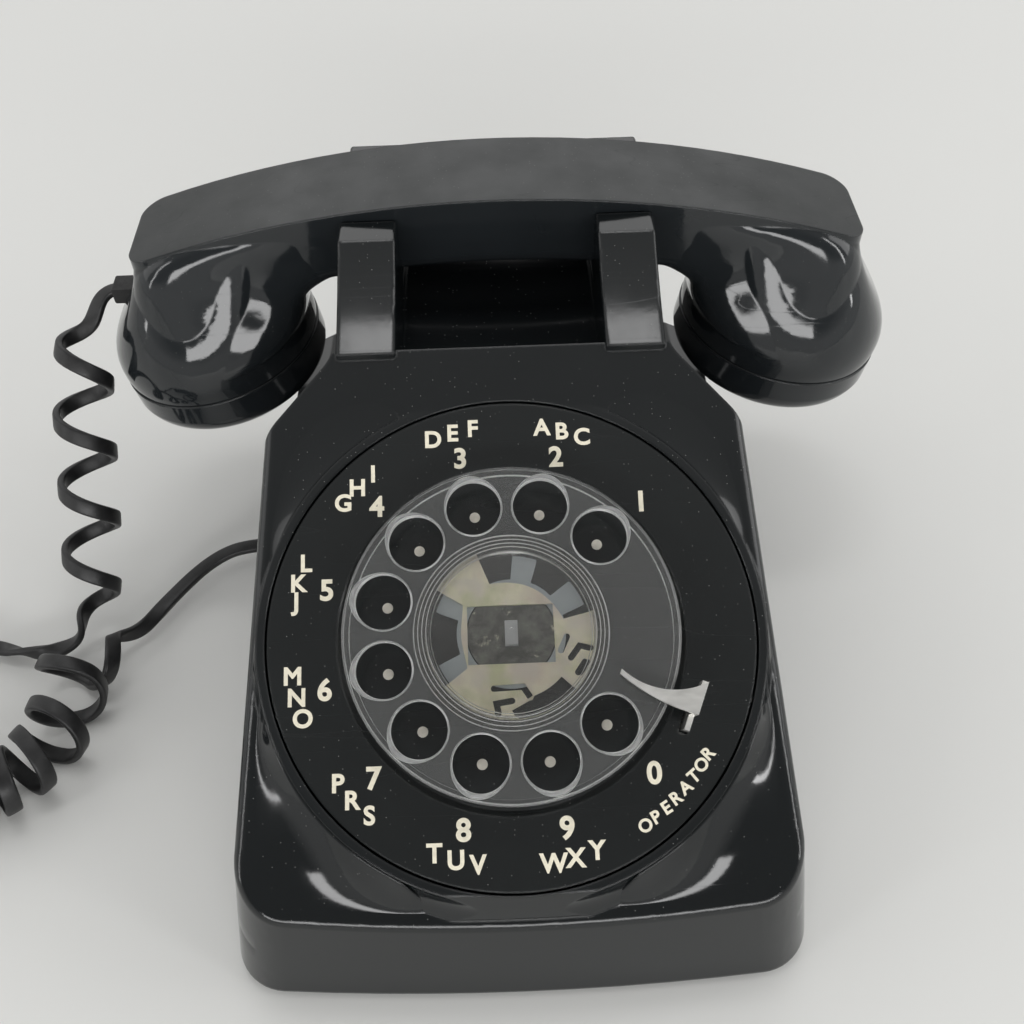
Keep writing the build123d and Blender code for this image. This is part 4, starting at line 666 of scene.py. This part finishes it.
# upright digits and letters, and one word along an arc whose characters lean with it
def printDial(spec):
    digits = [(str(digit), spec["digitRadius"], digitAngle(digit), 0.0, spec["digitHeight"])
              for digit in range(dialSpec["holes"])]
    letters = [(character, spec["letterRadius"], digitAngle(digit) + (k - 1) * spec["letterStep"],
                0.0, spec["letterHeight"])
               for digit, group in spec["groups"].items() for k, character in enumerate(group)]
    angles = np.linspace(spec["wordFrom"], spec["wordTo"], len(spec["word"]))
    word = [(character, spec["wordRadius"], angle, spec["wordLean"] * (angle + 90.0),
             spec["wordHeight"]) for character, angle in zip(spec["word"], angles)]
    printCharacters("dial_digits", digits)
    printCharacters("dial_letters", letters)
    printCharacters("dial_word", word)


printDial(printSpec)


# dots below the finger holes
dotSpec = {
    "radius": 0.00135, "height": 0.00035, "around": 20,
    "shares": [1.0, 0.96, 0.75, 0.4, 0.05], "rises": [-0.5, 0.55, 0.85, 0.97, 1.0],
}


# a dot is a low dome: rings of falling radius closed at the top
def makeDots(spec):
    turn = np.linspace(0.0, 2.0 * np.pi, spec["around"], endpoint=False)
    reach = spec["radius"] * np.array(spec["shares"])[:, None]
    level = spec["height"] * np.array(spec["rises"])[:, None] - dialSpec["recess"]
    dots = []
    for middle in roundPoints(dialSpec["holeCircle"], holeAngles()):
        flat = middle + roundPoints(reach, turn)
        height = np.broadcast_to(level[:, :, None], (*flat.shape[:2], 1))
        local = np.concatenate([flat, height], axis=2)
        grid = onDial(local.reshape(-1, 3)).reshape(local.shape)
        dots.append(gridMesh("dot", grid, closeRows=True, capEnds=True))
    mesh = joinMeshes("finger_dots", dots, False)
    addPiece("finger_dots", mesh, "base", dotMaterial)


makeDots(dotSpec)
print("lettering and dots printed")


# moulded beads on the clear wheel: round the finger holes and along the window's steps; their pale,
# half-clear finish is a painted highlight
beadSpec = {
    "holeRadius": 0.00685, "holeTube": 0.00022, "holeLevel": 0.0078, "holeSides": 72, "swell": 2.2,
    "steps": 4, "stepRadius": 0.02305, "stepRun": 0.001, "stepLevel": 0.0078, "stepRise": 0.0005,
    "stepTube": 0.00007, "stepSides": 144, "tubeSides": 8,
}


# a bead is a ring: a small circle carried round a large one, thicker by swell on its outward side
def beadMesh(centre, radius, level, tube, sides, tubeSides, outward=0.0, swell=0.0):
    ringTurn = np.linspace(0.0, 2.0 * np.pi, sides + 1)
    tubeTurn = np.linspace(0.0, 2.0 * np.pi, tubeSides, endpoint=False)
    u, v = np.meshgrid(ringTurn, tubeTurn, indexing="ij")
    thick = tube * (1.0 + swell * np.clip(np.cos(u - outward), 0.0, 1.0) ** 3)
    reach = radius + thick - tube + thick * np.cos(v)
    height = level + tube * np.sin(v)
    local = np.concatenate([centre + roundPoints(reach, u), height[:, :, None]], axis=2)
    grid = onDial(local.reshape(-1, 3)).reshape(local.shape)
    return gridMesh("bead", grid, closeRows=True)


# a thick-sided bead for each hole, and plain beads that shrink and rise by a step each
def makeBeads(spec):
    angles = holeAngles()
    beads = [beadMesh(middle, spec["holeRadius"], spec["holeLevel"], spec["holeTube"],
                      spec["holeSides"], spec["tubeSides"], angle, spec["swell"])
             for middle, angle in zip(roundPoints(dialSpec["holeCircle"], angles), angles)]
    for k in range(spec["steps"]):
        radius = spec["stepRadius"] - spec["stepRun"] * k
        level = spec["stepLevel"] + spec["stepRise"] * k
        beads.append(beadMesh(np.zeros(2), radius, level, spec["stepTube"], spec["stepSides"],
                              spec["tubeSides"]))
    mesh = joinMeshes("wheel_beads", beads, True)
    weldMesh(mesh)
    addPiece("wheel_beads", mesh, "dial_rotor", beadHighlightMaterial)


makeBeads(beadSpec)
print("wheel beads moulded")


# card clamp: a plated disc with windows and hooked slots over a steel ring with lugs; outlines in
# millimetres and degrees, low and high in metres
clampSpec = {
    "radius": 20.5, "sides": 144, "low": 0.0034, "high": 0.0046,
    "opening": [(-10.5, -7.3), (10.3, -7.3), (10.3, 6.7), (-10.5, 6.7)],
    "windows": [(13.0, 112.0, 12.9, 11.9, 20.3), (148.0, 217.0, 13.4, 12.0, 20.3)],
    "slots": [[(-4.6, -13.0), (2.3, -12.8), (3.9, -15.3)],
              [(-0.4, -16.0), (-4.1, -16.5), (-3.7, -18.6)],
              [(13.2, -1.3), (11.6, -4.6)],
              [(13.9, -6.4), (16.1, -3.6), (18.2, -4.2)],
              [(17.2, -7.4), (15.4, -9.9)]],
    "slotWidth": 1.5, "arcSteps": 40,
    "sectorInner": (15.7, -71.0, -43.0, 20), "sectorOuter": (20.3, -43.0, -87.0, 30),
    "sectorTip": (-0.6, -18.2),
}
ringSpec = {
    "inner": 10.9, "innerSides": 72, "outer": 13.1, "sides": 720, "lugReach": 18.8,
    "low": 0.0026, "high": 0.0034, "lugEdge": (0.9, 1.1),
    "lugs": [(78.0, 10.0), (30.0, 11.0), (151.0, 12.0), (212.0, 11.0)],
}


# points on an arc between two angles
def arcPoints(radius, first, last, count):
    return roundPoints(radius, np.radians(np.linspace(first, last, count)))


# points all round a circle
def circlePoints(radius, count):
    return roundPoints(radius, np.linspace(0.0, 2.0 * np.pi, count, endpoint=False))


# a window between two angles: its inner edge stands further out towards both ends
def windowOutline(first, last, endInner, inner, outer, steps):
    share = np.abs(np.linspace(-1.0, 1.0, steps)) ** 3
    near = arcPoints(inner + (endInner - inner) * share, first, last, steps)
    return np.vstack([near, arcPoints(outer, last, first, steps)])


# a round end: a half circle ahead of a path's last point
def roundEnd(place, way, width):
    cap = arcPoints(0.5 * width, 90.0, -90.0, 9)[1:-1]
    return place + cap[:, :1] * way + cap[:, 1:] * np.array([-way[1], way[0]])


# a slot: the path moved half a width to either side, mitred at its corners, with round ends
def slotOutline(path, width):
    line = np.array(path)
    runs = unit(np.diff(line, axis=0))
    heading = unit(np.vstack([runs[:1], runs[:-1] + runs[1:], runs[-1:]]))
    mitre = np.sum(heading * np.vstack([runs[:1], runs]), axis=1, keepdims=True)
    side = 0.5 * width * np.stack([-heading[:, 1], heading[:, 0]], axis=1) / mitre
    return np.vstack([line + side, roundEnd(line[-1], heading[-1], width),
                      (line - side)[::-1], roundEnd(line[0], -heading[0], width)])


# the ring's edge: its outer radius, or the lugs' reach where the angle lies within a lug
def ringOutline(spec):
    degrees = np.linspace(0.0, 360.0, spec["sides"], endpoint=False)
    near = [np.abs((degrees - middle + 180.0) % 360.0 - 180.0) / half
            for middle, half in spec["lugs"]]
    share = 1.0 - softStep(np.min(near, axis=0), *spec["lugEdge"])
    reach = spec["outer"] + (spec["lugReach"] - spec["outer"]) * share
    return roundPoints(reach, np.radians(degrees))


# a flat plate: closed outlines filled as one face with holes, thick along the dial's axis
def flatPlate(name, outlines, low, high, slot, node):
    curve = bpy.data.curves.new(name, "CURVE")
    curve.dimensions = "2D"
    curve.fill_mode = "BOTH"
    curve.extrude = 0.5 * (high - low)
    for outline in outlines:
        spline = curve.splines.new("POLY")
        spline.points.add(len(outline) - 1)
        metres = 0.001 * np.array(outline)
        full = np.column_stack([metres, np.zeros(len(outline)), np.ones(len(outline))])
        spline.points.foreach_set("co", full.ravel())
        spline.use_cyclic_u = True
    mesh = curveMesh(curve)
    weldMesh(mesh)
    middle = np.array([0.0, 0.0, 0.5 * (low + high)])
    writePoints(mesh, onDial(readPoints(mesh) + middle))
    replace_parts(addPiece(name, mesh, "dial_rotor", finishes[slot]), node)


# the disc's circle less its opening, windows, slots and sector; the ring's edge less its bore
def makeClamp(spec, ring):
    outlines = [circlePoints(spec["radius"], spec["sides"]), spec["opening"]]
    outlines += [windowOutline(*window, spec["arcSteps"]) for window in spec["windows"]]
    outlines += [slotOutline(path, spec["slotWidth"]) for path in spec["slots"]]
    inner, outer = arcPoints(*spec["sectorInner"]), arcPoints(*spec["sectorOuter"])
    outlines.append(np.vstack([inner, outer, [spec["sectorTip"]]]))
    flatPlate("clamp_disc", outlines, spec["low"], spec["high"], "zinc_plate", "clamp_plate")
    edges = [ringOutline(ring), circlePoints(ring["inner"], ring["innerSides"])]
    flatPlate("spring_ring", edges, ring["low"], ring["high"], "steel", "card_spring")


makeClamp(clampSpec, ringSpec)
print("card clamp cut")


# deck skirt: the soft swell between the dial's collar and the deck, angles in degrees
skirtSpec = {
    "rim": 0.0622, "level": 0.0002, "reach": 0.018, "halfWidth": 0.0735, "footHeight": 0.003,
    "sideDraft": 8.0, "edge": 0.0026, "lipHeight": 0.0313, "lipY": -0.10079, "bow": 0.0035,
    "slope": 30.4, "from": 115.0, "to": 425.0, "sides": 160, "sink": 0.0008, "dip": 0.00015,
    "power": 2.2, "steps": 20, "least": 0.0004, "leastAway": 0.001, "behind": 1.0, "blend": 5.0,
    "fade": (0.0015, 0.0055), "sharp": 0.6,
}


# the deck rises evenly from the lip towards the back
def deckHeight(spec, y):
    return spec["lipHeight"] + (y - spec["lipY"]) * math.tan(math.radians(spec["slope"]))


# how far the skirt can run: a soft least of the ways to the side, to the front and its own reach
def skirtRun(spec, rim, away):
    tall = deckHeight(spec, rim[:, 1]) - spec["footHeight"]
    half = spec["halfWidth"] - tall * math.tan(math.radians(spec["sideDraft"]))
    sideways, forwards = np.abs(away[:, 0]), -away[:, 1]
    toSide = (half - spec["edge"] - np.abs(rim[:, 0])) / np.maximum(sideways, spec["leastAway"])
    front = spec["lipY"] + spec["bow"] * (rim[:, 0] / half) ** 2 + spec["edge"]
    toFront = (rim[:, 1] - front) / np.maximum(forwards, spec["leastAway"])
    toFront = np.where(forwards > 0.0, toFront, spec["behind"])
    limits = np.stack([toSide, toFront, np.full(len(rim), spec["reach"])], axis=1)
    limits = np.maximum(limits, spec["least"])
    return np.sum(limits ** -spec["blend"], axis=1) ** (-1.0 / spec["blend"])


# each profile falls from the collar's rim to the deck as a power of the way left, and closes
# below the deck
def makeSkirt(spec):
    turn = np.radians(np.linspace(spec["from"], spec["to"], spec["sides"]))
    level = np.full(len(turn), spec["level"])
    rim = onDial(np.column_stack([roundPoints(spec["rim"], turn), level]))
    away = unit(np.stack([np.cos(turn), np.sin(turn) * math.cos(tilt)], axis=1))
    run = skirtRun(spec, rim, away)
    rise = np.maximum(rim[:, 2] - deckHeight(spec, rim[:, 1]), 0.0) * softStep(run, *spec["fade"])
    share = np.linspace(0.0, 1.0, spec["steps"])
    plan = rim[:, None, :2] + (run[:, None] * share)[:, :, None] * away[:, None, :]
    deck = deckHeight(spec, plan[:, :, 1])
    swell = rise[:, None] * (1.0 - share) ** spec["power"] - spec["dip"] * share
    top = np.concatenate([plan, (deck + swell)[:, :, None]], axis=2)
    below = np.concatenate([plan, (deck - spec["sink"])[:, :, None]], axis=2)
    grid = np.concatenate([top, below[:, ::-1]], axis=1)
    mesh = gridMesh("deck_skirt", grid, closeRows=True, capEnds=True)
    weldMesh(mesh)
    mesh.set_sharp_from_angle(angle=spec["sharp"])
    addPiece("deck_skirt", mesh, "base", finishes["black_plastic"])


makeSkirt(skirtSpec)
print("deck skirt moulded")


# stage: a pale floor, soft panels aimed at the telephone and a sky that is brighter behind
stageSpec = {
    "half": 4.0, "steps": 9, "level": -0.0002, "floor": (0.78, 0.78, 0.76), "rough": 0.6,
    "patches": 3.0, "patchTone": 0.97, "aim": (0.0, 0.0, 0.05), "sky": (1.0, 1.0, 0.99),
    "skyFront": 0.20, "skyBack": 0.62, "skyTurn": (-0.6, 0.2), "skyRim": 0.70,
    "rimHeight": (0.34, 0.14),
}
lightSpecs = {
    "backSoft": {"place": (0.0, 2.55, 1.95), "power": 14.0, "width": 3.4, "height": 1.35},
    "leftSoft": {"place": (-2.7, 0.25, 1.35), "power": 7.0, "width": 1.7, "height": 1.7},
    "rightSoft": {"place": (2.7, 0.25, 1.35), "power": 18.0, "width": 1.7, "height": 1.7},
    "leftStrip": {"place": (-1.95, -0.93, 1.02), "power": 5.5, "width": 0.13, "height": 1.5},
    "rightStrip": {"place": (1.95, -0.93, 1.02), "power": 7.2, "width": 0.13, "height": 1.5},
    "frontSoft": {"place": (0.0, -2.55, 0.93), "power": 36.0, "width": 3.1, "height": 0.45},
    "overSoft": {"place": (0.0, 0.66, 2.1), "power": 3.4, "width": 0.75, "height": 0.28},
}


# a level sheet just below the feet
def makeFloor(spec):
    u = np.linspace(-spec["half"], spec["half"], spec["steps"])
    x, y = np.meshgrid(u, u, indexing="ij")
    mesh = gridMesh("floor", np.stack([x, y, np.full_like(x, spec["level"])], axis=-1))
    material, tree, shader, place = startMaterial("paleTable", Roughness=spec["rough"])
    pale, dim = rgba(spec["floor"]), rgba(spec["floor"], spec["patchTone"])
    feed(tree, shader, {"Base Color": blendColours(
        tree, noise(tree, place, spec["patches"]), pale, dim)})
    mesh.materials.append(material)
    floor = bpy.data.objects.new("floor", mesh)
    bpy.context.collection.objects.link(floor)


# a panel facing the aim, its width level and its height square to that
def makeLight(name, spec, aim):
    data = bpy.data.lights.new(name, "AREA")
    data.shape = "RECTANGLE"
    data.size, data.size_y, data.energy = spec["width"], spec["height"], spec["power"]
    light = bpy.data.objects.new(name, data)
    outward = unit(np.array(spec["place"]) - np.array(aim))
    level = unit(np.array([-outward[1], outward[0], 0.0]))
    light.matrix_world = axesAt(spec["place"], level, np.cross(outward, level), outward)
    bpy.context.collection.objects.link(light)


# the sky's strength is the larger of a rise from front to back and a band near the horizon
def makeSky(spec):
    world = bpy.data.worlds.new("studio")
    world.use_nodes = True
    tree = world.node_tree
    place = addNode(tree, "ShaderNodeTexCoord").outputs["Generated"]
    parts = addNode(tree, "ShaderNodeSeparateXYZ", {"Vector": place}).outputs
    over = span(tree, parts["Y"], *spec["skyTurn"], spec["skyFront"], spec["skyBack"])
    rim = span(tree, parts["Z"], *spec["rimHeight"], 0.0, spec["skyRim"])
    strength = combine(tree, "MAXIMUM", over, rim)
    feed(tree, tree.nodes["Background"], {"Color": rgba(spec["sky"]), "Strength": strength})
    bpy.context.scene.world = world


makeFloor(stageSpec)
for lightName, lightSpec in lightSpecs.items():
    makeLight(lightName, lightSpec, stageSpec["aim"])
makeSky(stageSpec)
bpy.context.scene.view_settings.view_transform = "Standard"
print("stage lit")
